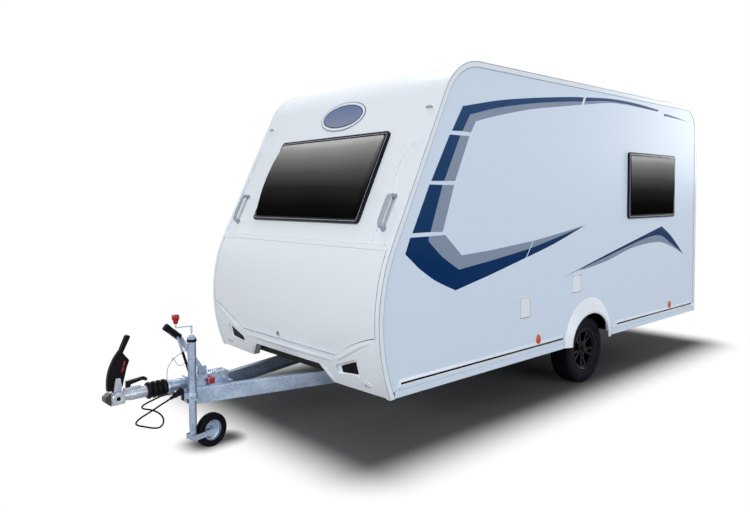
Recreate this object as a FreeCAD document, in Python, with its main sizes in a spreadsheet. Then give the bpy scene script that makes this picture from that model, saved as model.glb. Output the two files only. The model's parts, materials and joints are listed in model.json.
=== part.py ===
import FreeCAD, Part
import math
import os
import re
import Sketcher

# Travel caravan standing on its two road wheels and its jockey wheel.
# Lengths are in millimetres and angles in degrees. Every place is given from the axle: x forward, y to the
# caravan's left, z up from the ground. The finished pieces are shifted along x to the middle of the whole.

SIZES = {
    # cabin
    "body_width": 2100, "roof_height": 2575, "wall_bottom": 415, "rear_overhang": 2200,
    "nose_reach": 2472, "nose_height": 840, "nose_upper_radius": 1120, "nose_lower_radius": 1218,
    "front_slope": 26, "front_roof_radius": 390, "rear_roof_radius": 255,
    "wall_thick": 30, "roof_thick": 32, "front_thick": 28, "floor_thick": 40, "seam": 5,
    # edge trims and skirts
    "trim_width": 36, "trim_proud": 4, "trim_wrap": 28, "trim_foot": 372,
    "skirt_foot": 375, "skirt_top": 452, "skirt_proud": 6, "skirt_step": 422, "skirt_wall": 2.5,
    # front: locker and bumper
    "lid_top": 1302, "strip_top": 1334, "strip_proud": 3, "lid_low": 585, "lid_low_half": 598,
    "lid_side_low": 772, "lid_bend_inset": 190, "lid_bend_low": 715, "bumper_foot": 380,
    "intake_top": 494, "intake_half": 408, "intake_foot_half": 524, "bulkhead_set": 420,
    "bumper_crown": 24, "lock_y": -72, "lock_z": 629, "lock_radius": 27, "lock_proud": 9,
    "channel_side": 194, "channel_narrow": 125, "channel_bend": 1880, "channel_top": 2010, "channel_deep": 7,
    "channel_round": 30,
    "recess_inner": 598, "recess_outer": 829, "recess_low": 458, "recess_rise": 22, "recess_small": 62,
    "recess_tall": 124, "recess_deep": 2, "recess_round": 18, "blank_deep": 14,
    # openings
    "front_window_half": 663, "front_window_low": 1452, "front_window_drop": 487,
    "side_window_front": 652, "side_window_rear": 1630, "side_window_tall": 620, "side_window_drop": 535,
    "rear_window_half": 520, "rear_window_tall": 560, "rear_window_drop": 615,
    "frame_width": 46, "frame_proud": 20, "frame_corner": 30, "pane_thick": 5, "pane_inset": 6,
    "door_front": 1190, "door_width": 590, "door_low": 470, "door_drop": 375, "door_gap": 6,
    "door_corner": 70, "hinge_out": 14, "hinge_pin": 5, "pin_clear": 0.05, "knuckle": 9, "knuckle_long": 60,
    "hinge_end": 250, "door_grip_set": 40, "door_grip_wide": 30, "door_grip_long": 150, "door_grip_out": 22,
    "door_grip_lower": 200,
    "hatch_size": 400, "hatch_height": 60, "hatch_behind": 600, "hatch_corner": 20, "vent_size": 280,
    "vent_height": 55, "vent_ahead": 700, "vent_side": 250,
    "flap_gap": 6, "flap_thick": 12, "flap_corner": 6, "flap_frame": 14, "flap_proud": 3, "flap_pin": 2.5,
    "flap_edge": 6, "flap_pin_set": 2, "flap_ear_set": 1, "flap_ear_end": 1.5, "flap_ear_half": 5,
    "front_flap_rear": 897, "front_flap_long": 118, "front_flap_low": 706, "front_flap_tall": 148,
    "rear_flap_rear": 154, "rear_flap_long": 136, "rear_flap_low": 826, "rear_flap_tall": 138,
    # wheel arches and boxes
    "arch_x": 12, "arch_outer_half": 384, "arch_outer_top": 752, "arch_lip_half": 302, "arch_lip_top": 622,
    "arch_flare": 34, "arch_skin": 5, "arch_hole_half": 350, "arch_hole_top": 712,
    "box_half": 378, "box_top": 700, "box_deep": 350, "box_skin": 5,
    # running gear
    "wheel_radius": 295, "tyre_width": 185, "wheel_inset": 128, "rim_seat": 178, "rim_edge": 190,
    "rim_skin": 6, "flange_set": 16, "bead_set": 7, "disc_out": 62, "disc_thick": 16, "disc_dish": 6,
    "hub_radius": 52, "spokes": 5, "spoke_gap": 17, "slot_gap": 5, "gap_inset": 14, "slot_inset": 40,
    "slot_outset": 8, "spindle": 15,
    "drum_radius": 115, "drum_face": 45, "drum_back": 113, "drum_hub": 45, "drum_chamfer": 11,
    "arm_face": 122, "arm_wide": 34, "arm_tall": 70, "axle_x": 165, "axle_z": 284, "axle_size": 92, "axle_round": 14,
    "rail_y": 560, "rail_tall": 85, "rail_flange": 45, "steel": 3, "rail_rear": 2150, "rail_front": 1450,
    "cross_rear": 1900, "plate_thick": 6,
    # drawbar
    "bar_low": 297, "bar_tall": 101, "bar_flange": 46, "bar_apex": 3230, "bar_apex_y": 71,
    "bar_spread": 14.4,
    "ball_to_axle": 3665, "ball_height": 428, "ball_radius": 25, "ball_clear": 0.3, "socket_deep": 30,
    "head_nose": 86, "head_wide": 56, "head_low": 42, "head_top": 34, "head_round": 9, "pad_ahead": 12,
    "pad_radius": 40, "pad_reach": 46, "pad_step": 6, "pad_hole": 13, "pad_sink": 10,
    "neck_radius": 37, "neck_shoulder": 78, "neck_small": 27, "neck_end": 36,
    "rib_top": 47, "rib_wide": 22, "cheek_thick": 5, "cheek_gap": 1, "handle_wide": 32,
    "handle_pin": 5, "handle_pin_x": 5, "handle_pin_z": 104, "latch_wide": 24,
    "tube_radius": 25, "tube_rear": 3010, "tube_front": 3600,
    "housing_rear": 2925, "housing_front": 3362, "housing_half": 46, "housing_top": 470, "base_thick": 6,
    "base_half": 78, "barrel_radius": 38, "shell_set": 20, "barrel_in": 60, "collar_long": 14,
    "under_long": 120, "under_gap": 4, "ear_wide": 56, "ear_tall": 46, "bore_past": 20,
    "gland_x": 3330, "gland_y": -30, "gland_z": 366, "gland_radius": 9, "gland_long": 36,
    "plug_boot": 34, "plug_mouth": 8, "plug_throat": 13, "plug_waist": 24, "plug_barrel": 17, "plug_radius": 20,
    "holder_thick": 7, "web_long": 12, "web_wide": 60,
    "lever_x": 3112, "lever_z": 494, "lever_thick": 10, "lever_pin": 6, "lever_wide": 34, "lever_reach": 171,
    "lever_rise": 234, "grip_wide": 30, "grip_long": 128, "grip_tall": 38, "grip_angle": 41, "grip_round": 9,
    "strut_ahead": 96, "strut_side": 15, "strut_radius": 8, "strut_ball": 11, "strut_pin": 7, "strut_drop": 9,
    "stud_x": 3080, "stud_z": 430, "stud_radius": 26, "stud_out": 30,
    "bellows_front": 3492, "bellows_radius": 53, "bellows_ribs": 4, "bellows_root": 41,
    # jockey wheel
    "jockey_x": 3236, "jockey_y": 114, "outer_radius": 27, "outer_low": 350, "outer_top": 752,
    "inner_radius": 24, "slide_clear": 0.3, "inner_low": 168, "inner_top": 675, "fork_trail": 140,
    "stem_radius": 22, "yoke_low": 86, "yoke_front": 24, "yoke_rear": 20, "collar_proud": 3, "collar_tall": 12,
    "collar_drop": 18, "outer_cap": 12, "castor_angle": 9, "jockey_radius": 110, "jockey_wide": 60,
    "jockey_rim": 66, "jockey_edge": 71, "jockey_skin": 4, "fork_gap": 6, "fork_steel": 5, "fork_bar": 36, "jockey_axle": 8, "jockey_hub": 24,
    "dish_foot": 45, "dish_head": 57, "dish_deep": 8, "clamp_tall": 38, "clamp_wall": 7, "clamp_drop": 4, "clamp_bar": 6, "clamp_bar_long": 70,
    "clamp_bar_ahead": 20, "clamp_bar_drop": 30,
    "crank_throw": 105, "crank_rod": 6, "crank_height": 70, "crank_lean": 4, "crank_tail": 40, "crank_boss": 16,
    "boss_radius": 16.7, "knob_radius": 17, "knob_foot": 12, "knob_start": 30, "knob_tall": 48,
    # corner steadies
    "steady_beside": 200, "steady_behind": 772, "steady_ahead": 560, "steady_z": 383, "steady_long": 430,
    "steady_wide": 44, "steady_tall": 26, "steady_pin": 6, "foot_long": 90, "foot_wide": 80, "foot_thick": 4,
    "bracket_long": 60, "bracket_drop": 18, "bracket_gap": 5,
    # lamps and handles
    "lamp_depth": 36, "lamp_inset": 95, "lamp_wide": 110, "lamp_low": 800, "lamp_tall": 400,
    "bumper_deep": 30, "bumper_tall": 190, "bumper_slope": 20, "bumper_chamfer": 12,
    "marker_long": 84, "marker_tall": 60, "marker_deep": 14, "marker_z": 507,
    "marker_front": 778, "marker_rear": 1580, "top_marker_inset": 65, "top_marker_drop": 343,
    "grab_inset": 135, "grab_low": 1432, "grab_long": 230, "grab_out": 52, "grab_radius": 13, "grab_foot": 6,
    "seat": 0.3,
}

doc = FreeCAD.newDocument("travel_caravan")
sheet = doc.addObject("Spreadsheet::Sheet", "Sizes")
for row, (alias, number) in enumerate(SIZES.items(), start=1):
    sheet.set("A%d" % row, alias)
    sheet.set("B%d" % row, str(number))
    sheet.setAlias("B%d" % row, alias)
doc.recompute()


class Values:
    """The sheet's numbers, read by name."""

    def __getattr__(self, alias):
        return float(sheet.get(alias))


size = Values()
parts = []

LEFT = 1
RIGHT = -1
# The middle of the whole length, counted forward from the axle.
MIDDLE = "(ball_to_axle + head_nose - rear_overhang - lamp_depth) / 2"


def vec(x, y, z=0.0):
    return FreeCAD.Vector(x, y, z)


def formula(text):
    """An expression that names the sheet's cells."""
    return re.sub(r"[a-z]\w*", lambda word: "Sizes." + word.group(), text)


def bind(item, **settings):
    """Bind properties to expressions of the sheet's cells."""
    for name, text in settings.items():
        item.setExpression(name, formula(text))


def place(item, x="0", y="0", z="0"):
    """Set a finished piece at its place, counted from the axle."""
    item.setExpression("Placement.Base.x", formula(x + " - " + MIDDLE))
    item.setExpression("Placement.Base.y", formula(y))
    item.setExpression("Placement.Base.z", formula(z))


def keep(item, name, x="0", y="0", z="0"):
    """Name a finished piece, place it and list it for export."""
    item.Label = name
    place(item, x, y, z)
    parts.append(item)
    return item


# Edges are lists of points: two for a straight line, three for an arc through the middle one.

def geometry(edge):
    points = [vec(*point) for point in edge]
    if len(points) == 2:
        return Part.LineSegment(*points)
    return Part.Arc(*points)


def chain(points, closed=True):
    """Straight edges from point to point."""
    ends = points[1:] + points[:1] if closed else points[1:]
    return [[a, b] for a, b in zip(points, ends)]


def backwards(edges):
    return [list(reversed(edge)) for edge in reversed(edges)]


def rounded(x0, x1, z0, z1, radius):
    """A rectangle with rounded corners."""
    bend = radius * (1 - math.sqrt(0.5))
    return [
        [(x0 + radius, z0), (x1 - radius, z0)],
        [(x1 - radius, z0), (x1 - bend, z0 + bend), (x1, z0 + radius)],
        [(x1, z0 + radius), (x1, z1 - radius)],
        [(x1, z1 - radius), (x1 - bend, z1 - bend), (x1 - radius, z1)],
        [(x1 - radius, z1), (x0 + radius, z1)],
        [(x0 + radius, z1), (x0 + bend, z1 - bend), (x0, z1 - radius)],
        [(x0, z1 - radius), (x0, z0 + radius)],
        [(x0, z0 + radius), (x0 + bend, z0 + bend), (x0 + radius, z0)],
    ]


def softened(points, radius):
    """A closed outline with its corners rounded by arcs that touch both edges."""
    corners = [vec(*point) for point in points]
    bends = []
    for i, corner in enumerate(corners):
        into = (corner - corners[i - 1]).normalize()
        away = (corners[(i + 1) % len(corners)] - corner).normalize()
        half_turn = into.getAngle(away) / 2
        reach = radius * math.tan(half_turn)
        middle = corner + (away - into).normalize() * (radius / math.cos(half_turn) - radius)
        bends.append([(spot.x, spot.y) for spot in (corner - into * reach, middle, corner + away * reach)])
    straights = [[bend[-1], bends[(i + 1) % len(bends)][0]] for i, bend in enumerate(bends)]
    return [edge for pair in zip(bends, straights) for edge in pair]


def shrunk(points, share):
    """The same outline made smaller about its middle."""
    middle = [sum(values) / len(points) for values in zip(*points)]
    return [tuple(m + share * (v - m) for v, m in zip(point, middle)) for point in points]


def circle(x, y, radius):
    return Part.Circle(vec(x, y), vec(0, 0, 1), radius)


def new_body(name):
    return doc.addObject("PartDesign::Body", name + "_body")


def sketch(body, plane, loops, at=0.0):
    """A sketch on one of the body's own planes, moved along that plane's axis. On XZ the axis is +Y here."""
    drawing = body.newObject("Sketcher::SketchObject", body.Name + "_sketch")
    support = [item for item in body.Origin.OriginFeatures if item.Role == plane + "_Plane"][0]
    drawing.AttachmentSupport = [(support, "")]
    drawing.MapMode = "FlatFace"
    depth = -at if plane == "XZ" else at
    drawing.AttachmentOffset = FreeCAD.Placement(vec(0, 0, depth), FreeCAD.Rotation())
    for loop in loops:
        for edge in loop:
            drawing.addGeometry(geometry(edge) if isinstance(edge, list) else edge, False)
    return drawing


def pad(body, drawing, length, back=False, middle=False):
    """Pad a sketch along its plane's normal, or the other way, or to both sides."""
    item = body.newObject("PartDesign::Pad", body.Name + "_pad")
    item.Profile = drawing
    bind(item, Length=length)
    item.Reversed = back
    if middle:
        item.SideType = "Symmetric"
    return item


def pocket(body, drawing, length=None, back=False):
    """Cut a sketch through all the body to both sides, or to a depth."""
    item = body.newObject("PartDesign::Pocket", body.Name + "_pocket")
    item.Profile = drawing
    if length is None:
        item.Type = "ThroughAll"
        item.SideType = "Symmetric"
    else:
        bind(item, Length=length)
        item.Reversed = back
    return item


def box(name, length, width, height, x="0", y="0", z="0"):
    item = doc.addObject("Part::Box", name)
    bind(item, Length=length, Width=width, Height=height)
    for axis, text in zip("xyz", (x, y, z)):
        item.setExpression("Placement.Base." + axis, formula(text))
    return item


TURNS = {"x": (vec(0, 1, 0), 90), "y": (vec(1, 0, 0), -90), "z": (vec(0, 0, 1), 0)}


def rod(name, radius, height, x="0", y="0", z="0", axis="z"):
    """A round bar that starts at a point and runs along an axis."""
    item = doc.addObject("Part::Cylinder", name)
    bind(item, Radius=radius, Height=height)
    item.Placement.Rotation = FreeCAD.Rotation(*TURNS[axis])
    for letter, text in zip("xyz", (x, y, z)):
        item.setExpression("Placement.Base." + letter, formula(text))
    return item


def fuse(name, items):
    item = doc.addObject("Part::MultiFuse", name)
    item.Shapes = items
    item.Refine = True
    return item


def cut(name, base, tools):
    item = doc.addObject("Part::Cut", name)
    item.Base = base
    item.Tool = tools[0] if len(tools) == 1 else fuse(name + "_tools", tools)
    item.Refine = True
    return item


def common(name, base, tool):
    item = doc.addObject("Part::Common", name)
    item.Base = base
    item.Tool = tool
    return item


def shape(name, solid):
    item = doc.addObject("Part::Feature", name)
    item.Shape = solid
    return item


# Contour of the cabin seen from the side, pushed outward by a distance

SLOPE = math.radians(size.front_slope)
HALF_WIDTH = size.body_width / 2
# Half the track, and the same as a formula.
WHEEL_Y = HALF_WIDTH - size.wheel_inset
WHEEL_PLACE = "(body_width / 2 - wheel_inset)"


def under_roof(drop):
    """Height of something that keeps its distance from the roof."""
    return size.roof_height - drop


def slope_start(out=0.0):
    """Height at which the nose curve becomes the straight slope."""
    return size.nose_height + (size.nose_upper_radius + out) * math.sin(SLOPE)


def roof_centre():
    """Centre of the curve between the front slope and the roof."""
    z = size.roof_height - size.front_roof_radius
    lean = size.nose_reach - size.nose_upper_radius * (1 - math.cos(SLOPE))
    reach = lean * math.cos(SLOPE) + slope_start() * math.sin(SLOPE)
    x = (reach - size.front_roof_radius - z * math.sin(SLOPE)) / math.cos(SLOPE)
    return x, z


def slope_end(out=0.0):
    """Height at which the straight slope becomes the roof curve."""
    return roof_centre()[1] + (size.front_roof_radius + out) * math.sin(SLOPE)


def front_point(z, out=0.0):
    """Point of the front contour at a height."""
    if z <= slope_start(out):
        base = size.nose_lower_radius if z <= size.nose_height else size.nose_upper_radius
        rise = z - size.nose_height
        return size.nose_reach - base + math.sqrt((base + out) ** 2 - rise ** 2), z
    if z <= slope_end(out):
        radius = size.nose_upper_radius
        start = size.nose_reach - radius + (radius + out) * math.cos(SLOPE)
        return start - (z - slope_start(out)) * math.tan(SLOPE), z
    x, centre = roof_centre()
    rest = (size.front_roof_radius + out) ** 2 - (z - centre) ** 2
    return x + math.sqrt(max(rest, 0.0)), z


def front_run(low, high=None, out=0.0):
    """Edges up the front contour between two heights, or up to the flat roof."""
    top = size.roof_height + out if high is None else high
    levels = [size.nose_height, slope_start(out), slope_end(out)]
    stops = [low] + [level for level in levels if low < level < top] + [top]
    edges = []
    for start, end in zip(stops, stops[1:]):
        middle = (start + end) / 2
        straight = slope_start(out) - 1 < start and end < slope_end(out) + 1
        ends = [front_point(start, out), front_point(end, out)]
        edges.append(ends if straight else [ends[0], front_point(middle, out), ends[1]])
    return edges


def roof_run(out=0.0):
    """Edges from the front curve back over the roof and down round its rear corner."""
    radius = size.rear_roof_radius
    x = radius - size.rear_overhang
    z = size.roof_height - radius
    bend = (radius + out) * math.sqrt(0.5)
    return [
        [(roof_centre()[0], size.roof_height + out), (x, size.roof_height + out)],
        [(x, size.roof_height + out), (x - bend, z + bend), (x - radius - out, z)],
    ]


def band(outer, inner):
    """A closed loop between two runs of edges."""
    return outer + [[outer[-1][-1], inner[-1][-1]]] + backwards(inner) + [[inner[0][0], outer[0][0]]]


def front_band(low, high, thick, proud=0.0):
    return band(front_run(low, high, proud), front_run(low, high, -thick))


def arch_curve(half, top, base, steps=2):
    """Half an ellipse over the wheel, as a short run of arcs from front to rear."""
    def point(share):
        angle = math.pi * share
        return size.arch_x + half * math.cos(angle), base + (top - base) * math.sin(angle)
    count = 2 * steps
    return [[point(i / count), point((i + 0.5) / count), point((i + 1) / count)] for i in range(count)]


# Side walls

def window_hole(x0, x1, z0, z1):
    inset = size.frame_width / 2
    return rounded(x0 + inset, x1 - inset, z0 + inset, z1 - inset, size.frame_corner - inset)


def side_window():
    top = under_roof(size.side_window_drop)
    return window_hole(-size.side_window_rear, -size.side_window_front, top - size.side_window_tall, top)


def door_hole(grow=0.0):
    rear = size.door_front - size.door_width
    return rounded(rear - grow, size.door_front + grow, size.door_low - grow, under_roof(size.door_drop) + grow,
                   size.door_corner + grow)


def flap_holes():
    holes = []
    for name in ("front", "rear"):
        x, long, z, tall = (getattr(size, name + "_flap_" + part) for part in ("rear", "long", "low", "tall"))
        gap = size.flap_gap
        holes.append(rounded(x - gap, x + long + gap, z - gap, z + tall + gap, size.flap_corner + gap))
    return holes


def side_outline():
    bottom = size.wall_bottom
    arch = arch_curve(size.arch_hole_half, size.arch_hole_top, bottom)
    rear = -size.rear_overhang
    edges = front_run(bottom) + roof_run()
    edges.append([(rear, size.roof_height - size.rear_roof_radius), (rear, bottom)])
    edges.append([(rear, bottom), arch[-1][-1]])
    edges += backwards(arch)
    edges.append([arch[0][0], edges[0][0]])
    return edges


def side_wall(side, name):
    """Sandwich wall with its openings cut."""
    body = new_body(name)
    openings = [side_window()]
    openings += flap_holes() if side == LEFT else [door_hole(size.door_gap)]
    drawing = sketch(body, "XZ", [side_outline()] + openings, side * HALF_WIDTH)
    pad(body, drawing, "wall_thick", back=side == RIGHT)
    keep(body, name)


side_wall(LEFT, "side_wall_left")
side_wall(RIGHT, "side_wall_right")


# Panels across the cabin, between the side walls

ACROSS = "body_width - 2 * wall_thick"
INNER_HALF = HALF_WIDTH - size.wall_thick


def roof_panel():
    body = new_body("roof_panel")
    loop = band(roof_run(), roof_run(-size.roof_thick))
    pad(body, sketch(body, "XZ", [loop]), ACROSS, middle=True)
    hatch = size.hatch_size / 2 - size.wall_thick
    vent = size.vent_size / 2 - size.wall_thick
    x, y = hatch_place()
    x2, y2 = vent_place()
    holes = [rounded(x - hatch, x + hatch, y - hatch, y + hatch, size.hatch_corner),
             rounded(x2 - vent, x2 + vent, y2 - vent, y2 + vent, size.hatch_corner)]
    pocket(body, sketch(body, "XY", holes))
    keep(body, "roof_panel")


def hatch_place():
    return -size.hatch_behind, 0.0


def vent_place():
    return size.vent_ahead, size.vent_side


def slope_turn():
    """Lay the local x across the caravan, y up the front slope and z out of it."""
    up = vec(-math.sin(SLOPE), 0, math.cos(SLOPE))
    out = vec(math.cos(SLOPE), 0, math.sin(SLOPE))
    return FreeCAD.Rotation(vec(0, 1, 0), up, out, "ZXY")


def front_window_place():
    middle = (size.front_window_low + under_roof(size.front_window_drop)) / 2
    x, z = front_point(middle)
    return FreeCAD.Placement(vec(x, 0, z), slope_turn())


def front_window_tall():
    return (under_roof(size.front_window_drop) - size.front_window_low) / math.cos(SLOPE) / 2


def flat_plate(half_x, half_y, corner, low, high):
    """A plate with rounded corners round the local origin, between two heights."""
    edges = rounded(-half_x, half_x, -half_y, half_y, corner)
    wire = Part.Wire([geometry(edge).toShape() for edge in edges])
    return Part.Face(wire).extrude(vec(0, 0, high - low)).translated(vec(0, 0, low))


def front_channel(side):
    """Tool for the sunk strip beside a corner trim, narrower above its bend, in which the grab handle sits."""
    base = size.strip_top
    wide, narrow = HALF_WIDTH - size.channel_side, HALF_WIDTH - size.channel_narrow
    levels = (base - size.front_thick, size.channel_bend, size.channel_top)
    low, bend, top = ((z - base) / math.cos(SLOPE) for z in levels)
    outline = softened([(wide, low), (HALF_WIDTH, low), (HALF_WIDTH, top), (narrow, top), (wide, bend)],
                       size.channel_round)
    wire = Part.Wire([geometry([(side * u, v) for u, v in edge]).toShape() for edge in outline])
    tool = Part.Face(wire).extrude(vec(0, 0, 2 * size.front_thick)).translated(vec(0, 0, -size.channel_deep))
    x, z = front_point(base)
    tool.Placement = FreeCAD.Placement(vec(x, 0, z), slope_turn()).multiply(tool.Placement)
    return tool


def front_wall():
    """Slanted moulding with the front window's hole cut square to it, and a channel round each grab handle."""
    body = new_body("front_wall")
    loop = front_band(size.strip_top, None, size.front_thick)
    pad(body, sketch(body, "XZ", [loop]), ACROSS, middle=True)
    inset = size.frame_width / 2
    hole = flat_plate(size.front_window_half - inset, front_window_tall() - inset, size.frame_corner - inset,
                      -3 * size.front_thick, 3 * size.front_thick)
    hole.Placement = front_window_place().multiply(hole.Placement)
    tools = [shape("front_hole", hole)] + [shape("front_channel", front_channel(side)) for side in (LEFT, RIGHT)]
    keep(cut("front_wall", body, tools), "front_wall")


def rear_wall():
    body = new_body("rear_wall")
    rear = -size.rear_overhang
    thick = size.roof_thick
    loop = chain([(rear, size.wall_bottom), (rear + thick, size.wall_bottom),
                  (rear + thick, size.roof_height - size.rear_roof_radius),
                  (rear, size.roof_height - size.rear_roof_radius)])
    pad(body, sketch(body, "XZ", [loop]), ACROSS, middle=True)
    half = size.rear_window_half
    top = under_roof(size.rear_window_drop)
    pocket(body, sketch(body, "YZ", [window_hole(-half, half, top - size.rear_window_tall, top)]))
    keep(body, "rear_wall")


def hinge_strip():
    """Fixed strip over the lid, with the bead along its lower edge on which the lid turns."""
    body = new_body("hinge_strip")
    loop = front_band(size.lid_top + size.seam, size.strip_top, size.front_thick, size.strip_proud)
    pad(body, sketch(body, "XZ", [loop]), ACROSS, middle=True)
    reach = "%.4f" % front_point(size.lid_top + size.seam, size.strip_proud)[0]
    bead = rod("lid_bead", "seam / 2 - seat", ACROSS, reach, "wall_thick - body_width / 2",
               "lid_top + seam / 2 + seat", "y")
    keep(fuse("hinge_strip", [body, bead]), "hinge_strip")


def lid_low_edge(gap=0.0):
    """Lower edge of the locker lid seen from the front, from right to left, raised by a gap."""
    right = [(-HALF_WIDTH, size.lid_side_low + gap), (size.lid_bend_inset - HALF_WIDTH, size.lid_bend_low + gap),
             (-size.lid_low_half, size.lid_low + gap)]
    left = [(-y, z) for y, z in reversed(right)]
    return [right, [right[-1], left[0]], left]


def locker_lid():
    """Lid with its sloping lower corners and the round boss of its lock."""
    body = new_body("locker_lid")
    loop = front_band(size.bumper_foot, size.lid_top, size.front_thick, size.strip_proud)
    pad(body, sketch(body, "XZ", [loop]), ACROSS + " - 2 * seam", middle=True)
    edge = lid_low_edge(size.seam)
    ends = [edge[-1][-1], (HALF_WIDTH, size.trim_foot), (-HALF_WIDTH, size.trim_foot), edge[0][0]]
    pocket(body, sketch(body, "YZ", [edge + chain(ends, closed=False)]))
    face = "%.4f" % front_point(size.lock_z, size.strip_proud)[0]
    lock = rod("lid_lock", "lock_radius", "lock_proud + front_thick / 2", face + " - front_thick / 2", "lock_y",
               "lock_z", "x")
    keep(fuse("locker_lid", [body, lock]), "locker_lid")


def crown(y):
    """How far the bumper stands out of the cabin's contour at a place across the front."""
    return size.strip_proud + size.bumper_crown * (1 - (y / INNER_HALF) ** 2)


def recess_outline(side, share=1.0):
    """Outline of a bumper recess seen from the front, tall towards the side of the cabin."""
    low = size.recess_low
    outer_low = low + size.recess_rise
    points = [(size.recess_inner, low), (size.recess_outer, outer_low),
              (size.recess_outer, outer_low + size.recess_tall), (size.recess_inner, low + size.recess_small)]
    return softened([(side * y, z) for y, z in shrunk(points, share)], share * size.recess_round)


def recess(side, share, depth, tag):
    """Tool that follows the contour: the outline's prism, no deeper than its share of the wall."""
    prism = new_body("recess_prism_" + tag)
    drawing = sketch(prism, "YZ", [recess_outline(side, share)], size.nose_reach)
    pad(prism, drawing, "8 * front_thick", middle=True)
    skin = new_body("recess_skin_" + tag)
    loop = front_band(size.bumper_foot, size.lid_side_low, depth, 3 * size.front_thick)
    pad(skin, sketch(skin, "XZ", [loop]), ACROSS, middle=True)
    return common("recess_" + tag, prism, skin)


def front_bumper():
    """Crowned moulding under the lid, lofted across the cabin, with its intake and two stepped recesses."""
    body = new_body("front_bumper")
    sections = []
    for share in (-1.0, -0.5, 0.0, 0.5, 1.0):
        y = share * INNER_HALF
        loop = front_band(size.bumper_foot, size.lid_side_low, size.front_thick, crown(y))
        sections.append(sketch(body, "XZ", [loop], y))
    loft = body.newObject("PartDesign::AdditiveLoft", "bumper_loft")
    loft.Profile = sections[0]
    loft.Sections = sections[1:]
    edge = lid_low_edge()
    top = size.lid_top
    ends = [edge[-1][-1], (HALF_WIDTH, top), (-HALF_WIDTH, top), edge[0][0]]
    foot = size.bumper_foot - size.seam
    intake = chain([(-size.intake_foot_half, foot), (size.intake_foot_half, foot),
                    (size.intake_half, size.intake_top), (-size.intake_half, size.intake_top)])
    pocket(body, sketch(body, "YZ", [edge + chain(ends, closed=False)]))
    pocket(body, sketch(body, "YZ", [intake]))
    tools = []
    for side, tag in ((LEFT, "left"), (RIGHT, "right")):
        tools.append(recess(side, 1.0, size.recess_deep, "outer_" + tag))
        tools.append(recess(side, 0.72, size.blank_deep, "inner_" + tag))
    keep(cut("front_bumper", body, tools), "front_bumper")


def bulkhead():
    """Wall behind the gas locker, and the locker's own side of the front."""
    item = box("bulkhead_box", "front_thick", ACROSS, "strip_top - wall_bottom - floor_thick",
               "nose_reach - bulkhead_set", "wall_thick - body_width / 2", "wall_bottom + floor_thick")
    reach = front_point(size.strip_top, -size.front_thick)[0]
    shelf_long = "%.3f" % (reach - size.nose_reach + size.bulkhead_set)
    shelf = box("bulkhead_shelf", shelf_long + " - front_thick", ACROSS, "front_thick",
                "nose_reach - bulkhead_set + front_thick", "wall_thick - body_width / 2",
                "strip_top - front_thick")
    keep(fuse("locker_bulkhead", [item, shelf]), "locker_bulkhead")


def floor():
    long = front_point(size.wall_bottom, -size.front_thick)[0]
    slab = box("floor_slab", "%.3f + rear_overhang - roof_thick - seam" % long, ACROSS, "floor_thick",
               "roof_thick - rear_overhang", "wall_thick - body_width / 2", "wall_bottom")
    wells = [box("floor_well_" + tag, "2 * box_half", "box_deep", "3 * floor_thick",
                 "arch_x - box_half", y, "wall_bottom - floor_thick")
             for tag, y in (("left", "body_width / 2 - box_deep"), ("right", "-body_width / 2"))]
    keep(cut("floor_panel", slab, wells), "floor_panel")


def wheel_boxes():
    """Inner housings over the road wheels, open below and towards the wheel."""
    shells = []
    for tag, low, high in (("left", "body_width / 2 - box_deep", "body_width / 2 - box_deep + box_skin"),
                           ("right", "wall_thick - body_width / 2", "wall_thick - body_width / 2")):
        outer = box("box_outer_" + tag, "2 * box_half", "box_deep - wall_thick",
                    "box_top - wall_bottom", "arch_x - box_half", low, "wall_bottom")
        inner = box("box_inner_" + tag, "2 * box_half - 2 * box_skin",
                    "box_deep - wall_thick - box_skin", "box_top - wall_bottom - box_skin",
                    "arch_x - box_half + box_skin", high, "wall_bottom")
        shells.append(cut("box_" + tag, outer, [inner]))
    keep(fuse("wheel_boxes", shells), "wheel_boxes")


roof_panel()
front_wall()
rear_wall()
hinge_strip()
locker_lid()
front_bumper()
bulkhead()
floor()
wheel_boxes()


# Trims on the outside of the cabin

def edge_trim(side):
    """Corner profile that wraps the seam between a side wall and the panels, all round from foot to foot."""
    foot = size.trim_foot
    rear = -size.rear_overhang

    def run(out):
        tail = [(rear - out, size.roof_height - size.rear_roof_radius), (rear - out, foot)]
        return front_run(foot, None, out) + roof_run(out) + [tail]

    body = new_body("edge_trim")
    face = sketch(body, "XZ", [band(run(size.trim_proud), run(-size.trim_width))],
                  side * (HALF_WIDTH + size.trim_proud))
    pad(body, face, "trim_proud", back=side == RIGHT)
    wrap = sketch(body, "XZ", [band(run(size.trim_proud), run(0.0))], side * HALF_WIDTH)
    pad(body, wrap, "trim_wrap", back=side == RIGHT)
    return body


def side_skirt(side, front, rear, tag):
    """Folded skirt under a side wall, from front to rear, hooked under the wall."""
    outer = HALF_WIDTH + size.skirt_proud
    step = HALF_WIDTH + size.skirt_wall
    foot = size.skirt_foot
    low = size.wall_bottom
    lip = HALF_WIDTH - size.wall_thick
    profile = [(HALF_WIDTH, size.skirt_top), (outer, size.skirt_top - size.skirt_proud),
               (outer, size.skirt_step + size.skirt_wall), (step, size.skirt_step - size.skirt_wall),
               (step, foot), (lip, foot), (lip, low), (lip + size.skirt_wall, low),
               (lip + size.skirt_wall, foot + size.skirt_wall), (HALF_WIDTH, foot + size.skirt_wall)]
    body = new_body("skirt_" + tag)
    loop = chain([(side * y, z) for y, z in profile])
    drawing = sketch(body, "YZ", [loop], rear)
    item = body.newObject("PartDesign::Pad", body.Name + "_pad")
    item.Profile = drawing
    item.Length = front - rear
    return body


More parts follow.
